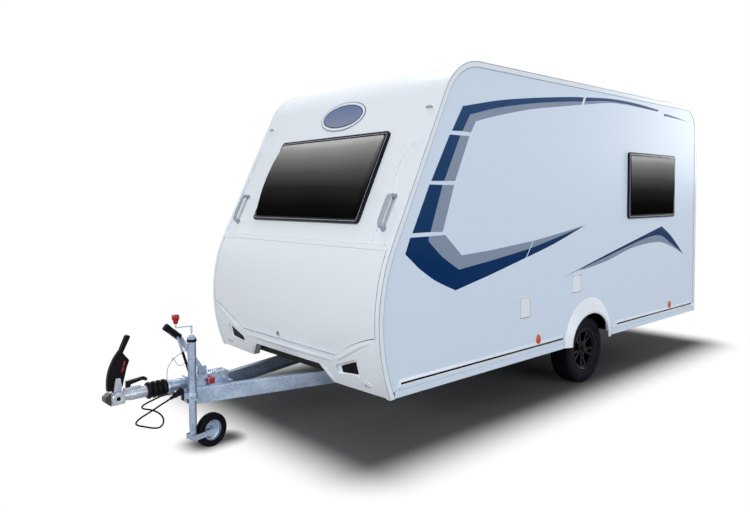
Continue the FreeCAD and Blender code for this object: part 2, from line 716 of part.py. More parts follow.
def skirts():
    pieces = []
    gap = size.seam
    bottom = size.skirt_foot
    ahead = size.arch_x + size.arch_outer_half + gap
    behind = size.arch_x - size.arch_outer_half - gap
    nose = front_point(bottom)[0] - size.trim_width - gap
    tail = size.trim_width + gap - size.rear_overhang
    for side, tag in ((LEFT, "left"), (RIGHT, "right")):
        pieces.append(side_skirt(side, nose, ahead, "front_" + tag))
        pieces.append(side_skirt(side, behind, tail, "rear_" + tag))
    keep(fuse("side_skirts", pieces), "side_skirts")


def arch_section(share, side):
    """Section of the flared wheel arch at a share of its half turn."""
    angle = math.pi * share
    base = size.skirt_foot
    face = HALF_WIDTH + size.seat

    def point(half, top, y):
        return vec(size.arch_x + half * math.cos(angle), side * y, base + (top - base) * math.sin(angle))

    skin = size.arch_skin
    lip_half, lip_top = size.arch_lip_half, size.arch_lip_top
    out_half, out_top = size.arch_outer_half, size.arch_outer_top
    corners = [
        point(out_half, out_top, face),
        point(out_half - skin, out_top - skin, face + skin),
        point(lip_half + 3 * skin, lip_top + 3 * skin, HALF_WIDTH + size.arch_flare),
        point(lip_half, lip_top, HALF_WIDTH + size.arch_flare - skin),
        point(lip_half, lip_top, HALF_WIDTH + size.arch_flare - 3 * skin),
        point(lip_half + 3 * skin, lip_top + 3 * skin, HALF_WIDTH + size.arch_flare - 2 * skin),
        point(out_half - 6 * skin, out_top - 6 * skin, face),
    ]
    return Part.makePolygon(corners + corners[:1])


def wheel_arches():
    solids = []
    steps = 12
    for side in (LEFT, RIGHT):
        sections = [arch_section(step / steps, side) for step in range(steps + 1)]
        solids.append(Part.makeLoft(sections, True, False))
    keep(shape("wheel_arches", Part.makeCompound(solids)), "wheel_arches")


keep(fuse("edge_trims", [edge_trim(LEFT), edge_trim(RIGHT)]), "edge_trims")
skirts()
wheel_arches()


# Windows: a frame ring whose neck lines the hole, and a pane in its rebate

def window(half_x, half_y):
    """Frame and pane lying flat round the origin, outside up."""
    hole = size.frame_width / 2 + size.seat

    def plate(shrink, low, high):
        corner = max(size.frame_corner - shrink, 2 * size.pane_inset)
        return flat_plate(half_x - shrink, half_y - shrink, corner, low, high)

    proud = size.frame_proud
    rebate = proud - size.pane_thick
    rim = plate(0, size.seat, proud).fuse(plate(hole, -size.wall_thick, proud))
    rim = rim.cut(plate(size.frame_width, -2 * size.wall_thick, 2 * proud))
    rim = rim.cut(plate(size.frame_width - 2 * size.pane_inset, rebate, 2 * proud))
    pane = plate(size.frame_width - 2 * size.pane_inset + size.seat, rebate, proud)
    return rim, pane


def set_windows():
    frames, panes = [], []

    def add(half_x, half_y, spot):
        for solid, store in zip(window(half_x, half_y), (frames, panes)):
            solid.Placement = spot.multiply(solid.Placement)
            store.append(solid)

    add(size.front_window_half, front_window_tall(), front_window_place())
    half = (size.side_window_rear - size.side_window_front) / 2
    x = -(size.side_window_rear + size.side_window_front) / 2
    tall = size.side_window_tall / 2
    z = under_roof(size.side_window_drop) - tall
    for side in (LEFT, RIGHT):
        turn = FreeCAD.Rotation(vec(-side, 0, 0), vec(0, 0, 1), vec(0, side, 0), "ZXY")
        add(half, tall, FreeCAD.Placement(vec(x, side * HALF_WIDTH, z), turn))
    tall = size.rear_window_tall / 2
    z = under_roof(size.rear_window_drop) - tall
    turn = FreeCAD.Rotation(vec(0, -1, 0), vec(0, 0, 1), vec(-1, 0, 0), "ZXY")
    add(size.rear_window_half, tall, FreeCAD.Placement(vec(-size.rear_overhang, 0, z), turn))
    keep(shape("window_frames", Part.makeCompound(frames)), "window_frames")
    keep(shape("window_panes", Part.makeCompound(panes)), "window_panes")


set_windows()


# Entrance door on the right side, hung at its front edge outside the wall

def entrance_door():
    body = new_body("entrance_door")
    pad(body, sketch(body, "XZ", [door_hole()], -HALF_WIDTH), "wall_thick", back=True)
    leaves = []
    for tag, z in hinge_heights():
        leaves.append(box("door_leaf_" + tag, "knuckle * 4", "hinge_out - knuckle / 2", "knuckle_long / 3",
                          "door_front + door_gap / 2 - knuckle * 4", "-body_width / 2 - hinge_out + knuckle / 2",
                          z + " - knuckle_long / 6"))
        leaves.append(rod("door_knuckle_" + tag, "knuckle", "knuckle_long / 3", "door_front + door_gap / 2",
                          "-body_width / 2 - hinge_out", z + " - knuckle_long / 6"))
    handle = box("door_handle", "door_grip_wide", "door_grip_out", "door_grip_long",
                 "door_front - door_width + door_grip_set", "-body_width / 2 - door_grip_out",
                 "(door_low + roof_height - door_drop) / 2 - door_grip_lower")
    door = fuse("door_with_leaves", [body, handle] + leaves)
    bores = [rod("door_bore_" + tag, "hinge_pin + pin_clear", "knuckle_long", "door_front + door_gap / 2",
                 "-body_width / 2 - hinge_out", z + " - knuckle_long / 2") for tag, z in hinge_heights()]
    keep(cut("entrance_door", door, bores), "entrance_door")


def hinge_heights():
    return (("low", "door_low + hinge_end"), ("middle", "(door_low + roof_height - door_drop) / 2"),
            ("high", "roof_height - door_drop - hinge_end"))


def door_hinges():
    """Wall brackets, each with two ears and the pin between them."""
    items = []
    for tag, z in hinge_heights():
        items.append(rod("hinge_pin_" + tag, "hinge_pin", "knuckle_long", "door_front + door_gap / 2",
                         "-body_width / 2 - hinge_out", z + " - knuckle_long / 2"))
        for end, lift in (("bottom", "- knuckle_long / 2"), ("top", "+ knuckle_long / 6 + seat")):
            ear = "knuckle_long / 3 - seat"
            items.append(rod("hinge_ear_%s_%s" % (tag, end), "knuckle", ear, "door_front + door_gap / 2",
                             "-body_width / 2 - hinge_out", z + lift))
            items.append(box("hinge_leaf_%s_%s" % (tag, end), "knuckle * 4", "hinge_out", ear,
                             "door_front + door_gap / 2 + knuckle / 2", "-body_width / 2 - hinge_out", z + lift))
    keep(fuse("door_hinges", items), "door_hinges")


entrance_door()
door_hinges()


# Service flaps in the left wall, hung at their top edges

def flap_box(name):
    return (getattr(size, name + "_flap_" + part) for part in ("rear", "long", "low", "tall"))


def flap_pin(name, radius, tag):
    """Rod along a flap's hinge line, through the gaps at both ends."""
    long = "%s_flap_long + 2 * flap_gap - 2 * flap_pin_set" % name
    start = "%s_flap_rear - flap_gap + flap_pin_set" % name
    height = "%s_flap_low + %s_flap_tall - flap_edge" % (name, name)
    return rod(name + tag, radius, long, start, "body_width / 2 + flap_proud - flap_thick / 2", height, "x")


def service_flap(name):
    """Flap with a bore along its top edge for the pin."""
    x, long, z, tall = flap_box(name)
    body = new_body(name + "_flap")
    drawing = sketch(body, "XZ", [rounded(x, x + long, z, z + tall, size.flap_corner)],
                     HALF_WIDTH + size.flap_proud)
    pad(body, drawing, "flap_thick")
    keep(cut(name + "_service_flap", body, [flap_pin(name, "flap_pin + pin_clear", "_bore")]),
         name + "_service_flap")


def flap_frames():
    """Surface frames round the flaps with their hinge pins, and the closed boxes behind."""
    items = []
    for name in ("front", "rear"):
        x, long, z, tall = flap_box(name)
        gap = size.flap_gap
        edge = size.flap_frame
        body = new_body(name + "_flap_frame")
        outer = rounded(x - edge, x + long + edge, z - edge, z + tall + edge, size.flap_corner + edge)
        inner = rounded(x - gap, x + long + gap, z - gap, z + tall + gap, size.flap_corner + gap)
        pad(body, sketch(body, "XZ", [outer, inner], HALF_WIDTH + size.flap_proud), "flap_proud")
        lining = new_body(name + "_flap_lining")
        pad(lining, sketch(lining, "XZ", [outer], HALF_WIDTH - size.wall_thick), "flap_gap")
        items += [body, lining, flap_pin(name, "flap_pin", "_pin")]
        ears = new_body(name + "_flap_ears")
        low = z + tall - size.flap_edge - size.flap_ear_half
        high = low + 2 * size.flap_ear_half
        near, far = size.flap_ear_set, gap - size.flap_ear_end
        loops = [chain([(a, low), (b, low), (b, high), (a, high)])
                 for a, b in ((x - far, x - near), (x + long + near, x + long + far))]
        drawing = sketch(ears, "XZ", loops, HALF_WIDTH + size.flap_proud - size.flap_ear_set)
        pad(ears, drawing, "wall_thick + flap_proud - flap_ear_set")
        items.append(ears)
    keep(fuse("flap_frames", items), "flap_frames")


service_flap("front")
service_flap("rear")
flap_frames()


# Roof hatch and vent

BASE_SHARE = 0.4
DOME_INSET = 0.1


def roof_vents():
    """Square covers with an upright base and a sloped dome."""
    domes = []
    for tag, (x, y), wide, tall in (("hatch", hatch_place(), "hatch_size", "hatch_height"),
                                    ("vent", vent_place(), "vent_size", "vent_height")):
        base = box(tag + "_base", wide, wide, "%g * %s" % (BASE_SHARE, tall), "%g - %s / 2" % (x, wide),
                   "%g - %s / 2" % (y, wide), "roof_height")
        dome = doc.addObject("Part::Wedge", tag + "_dome")
        near, far = "%g * %s" % (DOME_INSET, wide), "%g * %s" % (1 - DOME_INSET, wide)
        dome.Xmin = dome.Ymin = dome.Zmin = 0
        bind(dome, X2min=near, Z2min=near, Xmax=wide, Ymax="%g * %s" % (1 - BASE_SHARE, tall), Zmax=wide,
             X2max=far, Z2max=far)
        dome.Placement.Rotation = FreeCAD.Rotation(vec(1, 0, 0), 90)
        dome.setExpression("Placement.Base.x", formula("%g - %s / 2" % (x, wide)))
        dome.setExpression("Placement.Base.y", formula("%g + %s / 2" % (y, wide)))
        dome.setExpression("Placement.Base.z", formula("roof_height + %g * %s" % (BASE_SHARE, tall)))
        domes.append(fuse(tag + "_cover", [base, dome]))
    keep(fuse("roof_vents", domes), "roof_vents")


roof_vents()


# Lamps, handles and the rear bumper

def grab_handles():
    """Two bowed handles on the front wall, square to its slope."""
    solids = []
    radius = size.grab_radius
    out = size.grab_out
    long = size.grab_long
    bend = 0.3 * out
    path = [(0, 0), (0, out - bend), (bend, out), (long - bend, out), (long, out - bend), (long, 0)]
    for side in (LEFT, RIGHT):
        wire = Part.makePolygon([vec(0, u, w) for u, w in path])
        profile = Part.Wire([Part.Circle(vec(0, 0, 0), vec(0, 0, 1), radius).toShape()])
        solid = wire.makePipeShell([profile], True, True, 2)
        feet = [Part.makeCylinder(1.6 * radius, size.grab_foot, vec(0, u, 0)) for u in (0, long)]
        solid = solid.fuse(feet).removeSplitter()
        x, z = front_point(size.grab_low, -size.channel_deep)
        solid.Placement = FreeCAD.Placement(vec(x, side * (HALF_WIDTH - size.grab_inset), z), slope_turn())
        solids.append(solid)
    keep(shape("grab_handles", Part.makeCompound(solids)), "grab_handles")


def front_markers():
    """Domed white lamps high on the front wall."""
    x, z = front_point(under_roof(size.top_marker_drop))
    items = []
    for tag, y in (("left", "body_width / 2 - top_marker_inset"), ("right", "top_marker_inset - body_width / 2")):
        item = doc.addObject("Part::Ellipsoid", "top_marker_" + tag)
        bind(item, Radius1="marker_deep", Radius2="marker_tall / 2", Radius3="marker_tall / 2")
        item.Angle1 = 0
        item.Placement = FreeCAD.Placement(vec(x, 0, z), slope_turn())
        item.setExpression("Placement.Base.y", formula(y))
        items.append(item)
    keep(fuse("front_marker_lamps", items), "front_marker_lamps")


def side_markers():
    """Oval domed lamps low on both side walls."""
    items = []
    for side, y, turn in ((LEFT, "body_width / 2", 90), (RIGHT, "-body_width / 2", -90)):
        for tag, x in (("front", "marker_front"), ("rear", "-marker_rear")):
            item = doc.addObject("Part::Ellipsoid", "marker_%s_%s" % (tag, "left" if side == LEFT else "right"))
            bind(item, Radius1="marker_deep", Radius2="marker_tall / 2", Radius3="marker_long / 2")
            item.Angle1 = 0
            item.Placement.Rotation = FreeCAD.Rotation(vec(0, 0, 1), turn).multiply(
                FreeCAD.Rotation(vec(0, 1, 0), vec(0, 0, 1), vec(1, 0, 0), "ZXY"))
            for axis, text in zip("xyz", (x, y, "marker_z")):
                item.setExpression("Placement.Base." + axis, formula(text))
            items.append(item)
    keep(fuse("side_marker_lamps", items), "side_marker_lamps")


def rear_lamps():
    items = []
    for tag, y in (("left", "body_width / 2 - lamp_inset - lamp_wide / 2"),
                   ("right", "lamp_inset - body_width / 2 - lamp_wide / 2")):
        block = box("lamp_block_" + tag, "lamp_depth", "lamp_wide", "lamp_tall", "-rear_overhang - lamp_depth", y,
                    "lamp_low")
        soft = doc.addObject("Part::Fillet", "lamp_" + tag)
        soft.Base = block
        doc.recompute()
        rear = -size.rear_overhang - size.lamp_depth
        edges = [i for i, edge in enumerate(block.Shape.Edges, start=1)
                 if all(abs(v.X - rear) < 0.01 for v in edge.Vertexes)]
        soft.Edges = [(i, size.lamp_depth / 3, size.lamp_depth / 3) for i in edges]
        items.append(soft)
    keep(fuse("rear_lamps", items), "rear_lamps")


def rear_bumper():
    """Bar across the foot of the rear wall, chamfered below and in two slopes above."""
    body = new_body("rear_bumper")
    back = -size.rear_overhang
    out = back - size.bumper_deep
    low, chamfer = size.skirt_foot, size.bumper_chamfer
    top = low + size.bumper_tall
    slope = size.bumper_slope
    loop = chain([(back, low), (back, top), (out + chamfer, top - slope), (out, top - 2 * slope),
                  (out, low + chamfer), (out + chamfer, low)])
    pad(body, sketch(body, "XZ", [loop]), ACROSS, middle=True)
    keep(body, "rear_bumper")


grab_handles()
front_markers()
side_markers()
rear_lamps()
rear_bumper()


# Chassis rails, drawbar rails and cross members

def bar_outer_y(x):
    """Outside of a drawbar rail at a distance from the axle."""
    return size.bar_apex_y + (size.bar_apex - x) * math.tan(math.radians(size.bar_spread))


def chassis():
    items = []
    for tag, y, flange in (("left", "rail_y - steel", "rail_y - rail_flange"), ("right", "-rail_y", "-rail_y")):
        long = "rail_rear + rail_front"
        items.append(box("rail_web_" + tag, long, "steel", "rail_tall", "-rail_rear", y,
                         "wall_bottom - rail_tall"))
        for end, z in (("low", "wall_bottom - rail_tall"), ("top", "wall_bottom - steel")):
            items.append(box("rail_%s_%s" % (end, tag), long, "rail_flange", "steel", "-rail_rear", flange, z))
    for tag, x in (("front", "rail_front"), ("rear", "-cross_rear")):
        items.append(box("cross_" + tag, "rail_flange", "2 * rail_y", "rail_tall", x, "-rail_y",
                         "wall_bottom - rail_tall"))
    keep(fuse("chassis_rails", items), "chassis_rails")


def drawbar_rail(side, tag):
    """Folded channel, open towards the middle, mitred to the cross member and to the apex."""
    rear = size.rail_front + size.rail_flange
    front = size.bar_apex
    lean = math.cos(math.radians(size.bar_spread))

    def strip(outer, inner):
        return chain([(rear, side * (bar_outer_y(rear) - outer)), (front, side * (bar_outer_y(front) - outer)),
                      (front, side * (bar_outer_y(front) - inner)), (rear, side * (bar_outer_y(rear) - inner))])

    body = new_body("drawbar_" + tag)
    pad(body, sketch(body, "XY", [strip(0, size.bar_flange / lean)], size.bar_low), "bar_tall")
    hollow = sketch(body, "XY", [strip(size.steel / lean, (size.bar_flange + size.steel) / lean)],
                    size.bar_low + size.bar_tall - size.steel)
    pocket(body, hollow, "bar_tall - 2 * steel")
    keep(body, "drawbar_rail_" + tag)


chassis()
drawbar_rail(LEFT, "left")
drawbar_rail(RIGHT, "right")


# Axle, swing arms, drums and road wheels

def axle():
    reach = "(%s - arm_face - arm_wide)" % WHEEL_PLACE
    outer = box("axle_outer", "axle_size", "2 * " + reach, "axle_size", "axle_x - axle_size / 2",
                "-" + reach, "axle_z - axle_size / 2")
    soft = doc.addObject("Part::Fillet", "axle_soft")
    soft.Base = outer
    doc.recompute()
    soft.Edges = [(i, size.axle_round, size.axle_round) for i, edge in enumerate(outer.Shape.Edges, start=1)
                  if abs(edge.Vertexes[0].Y - edge.Vertexes[-1].Y) > 1]
    items = [soft]
    for tag, y in (("left", "rail_y - rail_flange"), ("right", "-rail_y")):
        items.append(box("axle_pad_" + tag, "2 * axle_size", "rail_flange",
                         "wall_bottom - rail_tall - axle_z", "axle_x - axle_size", y, "axle_z"))
    keep(fuse("axle_tube", items), "axle_tube")


def swing_arm(side, tag):
    """Trailing arm from the axle's end to the stub axle."""
    body = new_body("swing_arm_" + tag)
    half = size.arm_tall / 2
    tip = size.wheel_radius
    loop = [
        [(size.axle_x, size.axle_z + half), (0, tip + half)],
        [(0, tip + half), (-half, tip), (0, tip - half)],
        [(0, tip - half), (size.axle_x, size.axle_z - half)],
        [(size.axle_x, size.axle_z - half), (size.axle_x + half, size.axle_z), (size.axle_x, size.axle_z + half)],
    ]
    face = side * (WHEEL_Y - size.arm_face)
    pad(body, sketch(body, "XZ", [loop], face), "arm_wide", back=side == RIGHT)
    stub = sketch(body, "XZ", [[circle(0, tip, size.spindle)]], face)
    pad(body, stub, "arm_face - drum_face", back=side == LEFT)
    return body


def revolved(name, loops):
    """A solid turned about the wheel's own axis, y, drawn with radius along x and depth along y."""
    body = new_body(name)
    drawing = sketch(body, "XY", loops)
    item = body.newObject("PartDesign::Revolution", name + "_turn")
    item.Profile = drawing
    item.ReferenceAxis = (drawing, ["V_Axis"])
    item.Angle = 360
    return body


def set_wheel(item, name, side):
    """Put a turned piece on its wheel's centre, the outside facing away from the cabin."""
    if side == RIGHT:
        item.Placement.Rotation = FreeCAD.Rotation(vec(0, 0, 1), 180)
    keep(item, name, "0", WHEEL_PLACE if side == LEFT else "-" + WHEEL_PLACE, "wheel_radius")


# Shares of half a tyre's width: its round shoulder and the height of its tread's crown.
SHOULDER = 0.32
CROWN = 0.05


def tyre_outline(radius, half, bead, flange):
    """Section of a tyre: crowned tread, round shoulders, bulged sides and beads behind the rim's flanges."""
    shoulder = SHOULDER * half
    tread = half - shoulder
    crown = radius - CROWN * half
    low = crown - 1.2 * shoulder
    middle = (low + flange) / 2
    foot = half - size.flange_set - size.seat
    side = half - size.bead_set
    return [
        [(crown, -tread), (radius, 0), (crown, tread)],
        [(crown, tread), (crown - 0.35 * shoulder, half - 0.3 * shoulder), (low, half - 2)],
        [(low, half - 2), (middle, half), (flange + 1, side)],
        [(flange + 1, side), (flange + 1, foot)],
        [(flange + 1, foot), (bead, foot)],
        [(bead, foot), (bead, -foot)],
        [(bead, -foot), (flange + 1, -foot)],
        [(flange + 1, -foot), (flange + 1, -side)],
        [(flange + 1, -side), (middle, -half), (low, 2 - half)],
        [(low, 2 - half), (crown - 0.35 * shoulder, 0.3 * shoulder - half), (crown, -tread)],
    ]


def rim_outline():
    """Barrel with its drop centre, lip and disc."""
    half = size.tyre_width / 2 - size.flange_set
    seat = size.rim_seat - size.seat
    skin = size.rim_skin
    disc, dish = size.disc_out, size.disc_dish
    back = disc - size.disc_thick
    return chain([
        (0, back), (size.hub_radius, back), (seat - 4 * skin, back), (seat - 2 * skin, -half),
        (seat, -half), (seat, half), (size.rim_edge, half), (size.rim_edge, half + skin),
        (seat - skin, half + skin), (seat - 3 * skin, disc + dish), (size.hub_radius + 2 * dish, disc - dish),
        (size.hub_radius, disc), (0, disc)])


def spoke_window(centre, spread, low, high):
    """Opening between two spokes, wider towards the rim."""
    def point(radius, angle):
        return radius * math.sin(math.radians(angle)), radius * math.cos(math.radians(angle))
    a, b = centre - spread, centre + spread
    wider_a, wider_b = a - 2, b + 2
    return [
        [point(low, a), point(high, wider_a)],
        [point(high, wider_a), point(high + 3, centre), point(high, wider_b)],
        [point(high, wider_b), point(low, b)],
        [point(low, b), point(low, a)],
    ]


def rim(side, name):
    """Rim with a wide opening beside each pair of spokes and a slot between the two."""
    body = revolved(name, [rim_outline()])
    high = size.rim_seat - 5 * size.rim_skin
    hub = size.hub_radius
    gap = spoke_window(0.0, size.spoke_gap, hub + size.gap_inset, high)
    slot = spoke_window(180 / size.spokes, size.slot_gap, hub + size.slot_inset, high - size.slot_outset)
    drawing = sketch(body, "XZ", [gap, slot])
    drawing.Label = name + "_windows"
    item = body.newObject("PartDesign::Pocket", name + "_window")
    item.Profile = drawing
    item.Type = "ThroughAll"
    item.SideType = "Symmetric"
    doc.recompute()
    pattern = body.newObject("PartDesign::PolarPattern", name + "_spokes")
    pattern.Originals = [item]
    pattern.Axis = (drawing, ["N_Axis"])
    pattern.Angle = 360
    pattern.Occurrences = int(size.spokes)
    body.Tip = pattern
    set_wheel(body, name, side)


def tyre(side, name):
    body = revolved(name, [tyre_outline(size.wheel_radius, size.tyre_width / 2, size.rim_seat, size.rim_edge)])
    set_wheel(body, name, side)


def brake_drum(side, name):
    """Drum and hub, bored for the stub axle."""
    inner = -size.drum_back
    outer = -size.drum_face
    face = size.disc_out - size.disc_thick
    bore = size.spindle + size.pin_clear
    end = outer + size.seat
    radius, chamfer = size.drum_radius, size.drum_chamfer
    loop = chain([(bore, inner), (radius, inner), (radius, outer - chamfer), (radius - chamfer, outer),
                  (size.drum_hub, outer), (size.drum_hub, face), (0, face), (0, end), (bore, end)])
    set_wheel(revolved(name, [loop]), name, side)


axle()
keep(fuse("swing_arms", [swing_arm(LEFT, "left"), swing_arm(RIGHT, "right")]), "swing_arms")
for side, tag in ((LEFT, "left"), (RIGHT, "right")):
    tyre(side, "tyre_" + tag)
    rim(side, "rim_" + tag)
    brake_drum(side, "brake_drum_" + tag)


# Overrun housing, draw tube, bellows and coupling head

def overrun_housing():
    """Pressed base and shell on the rails, barrel round the draw tube, lever ears and the cable's gland."""
    plate = box("housing_base", "bar_apex - housing_rear", "2 * base_half", "base_thick", "housing_rear",
                "-base_half", "bar_low + bar_tall")
    shell = box("housing_shell", "bar_apex - housing_rear - shell_set", "2 * housing_half",
                "housing_top - bar_low - bar_tall - base_thick", "housing_rear + shell_set", "-housing_half",
                "bar_low + bar_tall + base_thick")
    barrel = rod("housing_barrel", "barrel_radius", "housing_front - bar_apex + barrel_in",
                 "bar_apex - barrel_in", "0", "ball_height", "x")
    collar = rod("housing_collar", "housing_half", "collar_long", "housing_front - collar_long", "0",
                 "ball_height", "x")
    under = box("housing_under", "under_long", "2 * (bar_apex_y - bar_flange - under_gap)", "bar_tall",
                "bar_apex - under_long", "bar_flange + under_gap - bar_apex_y", "bar_low")
    solids = [plate, shell, barrel, collar, under]
    for tag, y in (("left", "lever_thick / 2 + seat"), ("right", "-lever_thick / 2 - seat - plate_thick")):
        solids.append(box("lever_ear_" + tag, "ear_wide", "plate_thick", "ear_tall", "lever_x - ear_wide / 2", y,
                          "housing_top"))
    solids.append(rod("lever_pin", "lever_pin", "lever_thick + 2 * plate_thick", "lever_x",
                      "-lever_thick / 2 - plate_thick", "lever_z", "y"))
    solids.append(rod("housing_stud", "stud_radius", "stud_out", "stud_x", "housing_half", "stud_z", "y"))
    solids.append(box("gland_block", "gland_long", "2 * gland_radius", "ball_height - gland_z",
                      "gland_x - gland_long", "gland_y - gland_radius", "gland_z"))
    solids.append(rod("gland_tube", "gland_radius", "gland_long", "gland_x - gland_long", "gland_y", "gland_z",
                      "x"))
    bore = rod("housing_bore", "tube_radius + pin_clear", "housing_front - tube_rear + 2 * bore_past",
               "tube_rear - bore_past", "0", "ball_height", "x")
    keep(cut("overrun_housing", fuse("housing_solid", solids), [bore]), "overrun_housing")


def draw_tube():
    keep(rod("draw_tube", "tube_radius", "tube_front - tube_rear", axis="x"), "draw_tube", "tube_rear", "0",
         "ball_height")


def bellows():
    """Ribbed rubber boot over the draw tube."""
    body = new_body("bellows")
    low = size.housing_front + size.seat
    ribs = int(size.bellows_ribs)
    pitch = (size.bellows_front - low) / ribs
    bore = size.tube_radius + size.seat
    edges = [[(low, bore), (low, size.bellows_root)]]
    for i in range(ribs):
        start = low + i * pitch
        edges.append([(start, size.bellows_root), (start + pitch / 2, size.bellows_radius),
                      (start + pitch, size.bellows_root)])
    edges.append([(size.bellows_front, size.bellows_root), (size.bellows_front, bore)])
    edges.append([(size.bellows_front, bore), (low, bore)])
    drawing = sketch(body, "XY", [edges])
    item = body.newObject("PartDesign::Revolution", "bellows_turn")
    item.Profile = drawing
    item.ReferenceAxis = (drawing, ["H_Axis"])
    item.Angle = 360
    keep(body, "bellows", "0", "0", "ball_height")


def coupling_head():
    """Cast head over the ball: rounded snout, pad caps, neck clamped on the draw tube, cheeks for the handle."""
    body = new_body("coupling_snout")
    nose, low, top = size.head_nose, -size.head_low, size.head_top
    end = -size.neck_end
    blunt = 1.5 * size.head_round
    outline = [(end, low), (0.6 * nose, low), (nose, -blunt), (nose, blunt), (0.66 * nose, top), (0, 1.2 * top),
               (end, top)]
    pad(body, sketch(body, "XZ", [softened(outline, size.head_round)]), "head_wide", middle=True)
    pads = [rod("pad_body", "pad_radius", "2 * pad_reach - 2 * pad_step", "pad_ahead", "pad_step - pad_reach",
                "0", "y"),
            rod("pad_face", "pad_radius - pad_step", "2 * pad_reach", "pad_ahead", "-pad_reach", "0", "y")]
    neck = "(ball_to_axle - bellows_front - seat)"
    barrel = rod("neck_barrel", "neck_radius", neck + " - neck_shoulder", "-" + neck, "0", "0", "x")
    taper = doc.addObject("Part::Cone", "neck_taper")
    bind(taper, Radius1="neck_radius", Radius2="neck_small", Height="neck_shoulder - neck_end / 2")
    taper.Placement.Rotation = FreeCAD.Rotation(*TURNS["x"])
    taper.setExpression("Placement.Base.x", formula("-neck_shoulder"))
    rib = box("neck_rib", neck + " - neck_end - 4 * head_round", "rib_wide", "rib_top",
              "4 * head_round - " + neck, "-rib_wide / 2", "0")
    cheeks = new_body("handle_cheeks")
    spread = size.handle_wide / 2 + size.cheek_gap
    ear = softened([(-20, 0), (34, 0), (29, 50), (19, 118), (-9, 118), (-15, 80)], size.handle_pin)
    for side in (LEFT, RIGHT):
        pad(cheeks, sketch(cheeks, "XZ", [ear], side * spread), "cheek_thick", back=side == LEFT)
        if side == LEFT:
            across = sketch(cheeks, "XZ", [[circle(size.handle_pin_x, size.handle_pin_z, size.handle_pin)]],
                            spread + size.cheek_thick)
            pad(cheeks, across, "handle_wide + 2 * cheek_gap + 2 * cheek_thick")
    solid = fuse("head_solid", [body, barrel, taper, rib, cheeks] + pads)
    socket = rod("head_socket", "ball_radius + ball_clear", "2 * head_low + socket_deep", "0", "0",
                 "-2 * head_low")
    bore = rod("head_bore", "tube_radius + pin_clear", "tube_front - tube_rear", "tube_rear - ball_to_axle",
               "0", "0", "x")
    sinks = [rod("pad_sink_" + tag, "pad_hole", "2 * pad_sink", "pad_ahead", y, "0", "y")
             for tag, y in (("left", "pad_reach - pad_sink"), ("right", "-pad_reach - pad_sink"))]
    keep(cut("coupling_head", solid, [socket, bore] + sinks), "coupling_head", "ball_to_axle", "0", "ball_height")


def stabiliser_handle():
    """Tall pull-up handle between its cheeks, and the coupling's own flat lever behind it, on the neck's rib."""
    body = new_body("stabiliser_handle")
    foot = size.head_top + 12
    outline = [
        [(64, foot), (55, 160), (-14, 285)],
        [(-14, 285), (-46, 357)],
        [(-46, 357), (-62, 371), (-76, 358)],
        [(-76, 358), (-30, 267)],
        [(-30, 267), (-68, 216)],
        [(-68, 216), (-50, 168)],
        [(-50, 168), (-24, foot + 16)],
        [(-24, foot + 16), (-8, foot)],
        [(-8, foot), (64, foot)],
    ]
    pad(body, sketch(body, "XZ", [outline]), "handle_wide", middle=True)
    bore = rod("handle_bore", "handle_pin + pin_clear", "2 * handle_wide", "handle_pin_x", "-handle_wide",
               "handle_pin_z", "y")
    handle = cut("handle_bored", body, [bore])
    latch = new_body("coupling_latch")
    seat = size.rib_top + size.seat
    lever = [
        [(-49, seat), (-50, 85)],
        [(-50, 85), (-152, 95)],
        [(-152, 95), (-170, 91), (-180, 76)],
        [(-180, 76), (-174, 68)],
        [(-174, 68), (-146, 77)],
        [(-146, 77), (-76, 63)],
        [(-76, 63), (-73, seat)],
        [(-73, seat), (-49, seat)],
    ]
    pad(latch, sketch(latch, "XZ", [lever]), "latch_wide", middle=True)
    keep(fuse("handle_and_latch", [handle, latch]), "stabiliser_handle", "ball_to_axle", "0", "ball_height")


overrun_housing()
draw_tube()
bellows()
coupling_head()
stabiliser_handle()


# Handbrake lever and its gas strut

def tube_along(points, radius):
    """A round bar along straight runs."""
    wire = Part.makePolygon([vec(*point) for point in points])
    first = vec(*points[1]) - vec(*points[0])
    profile = Part.Wire([Part.Circle(vec(*points[0]), first, radius).toShape()])
    return wire.makePipeShell([profile], True, True, 2)


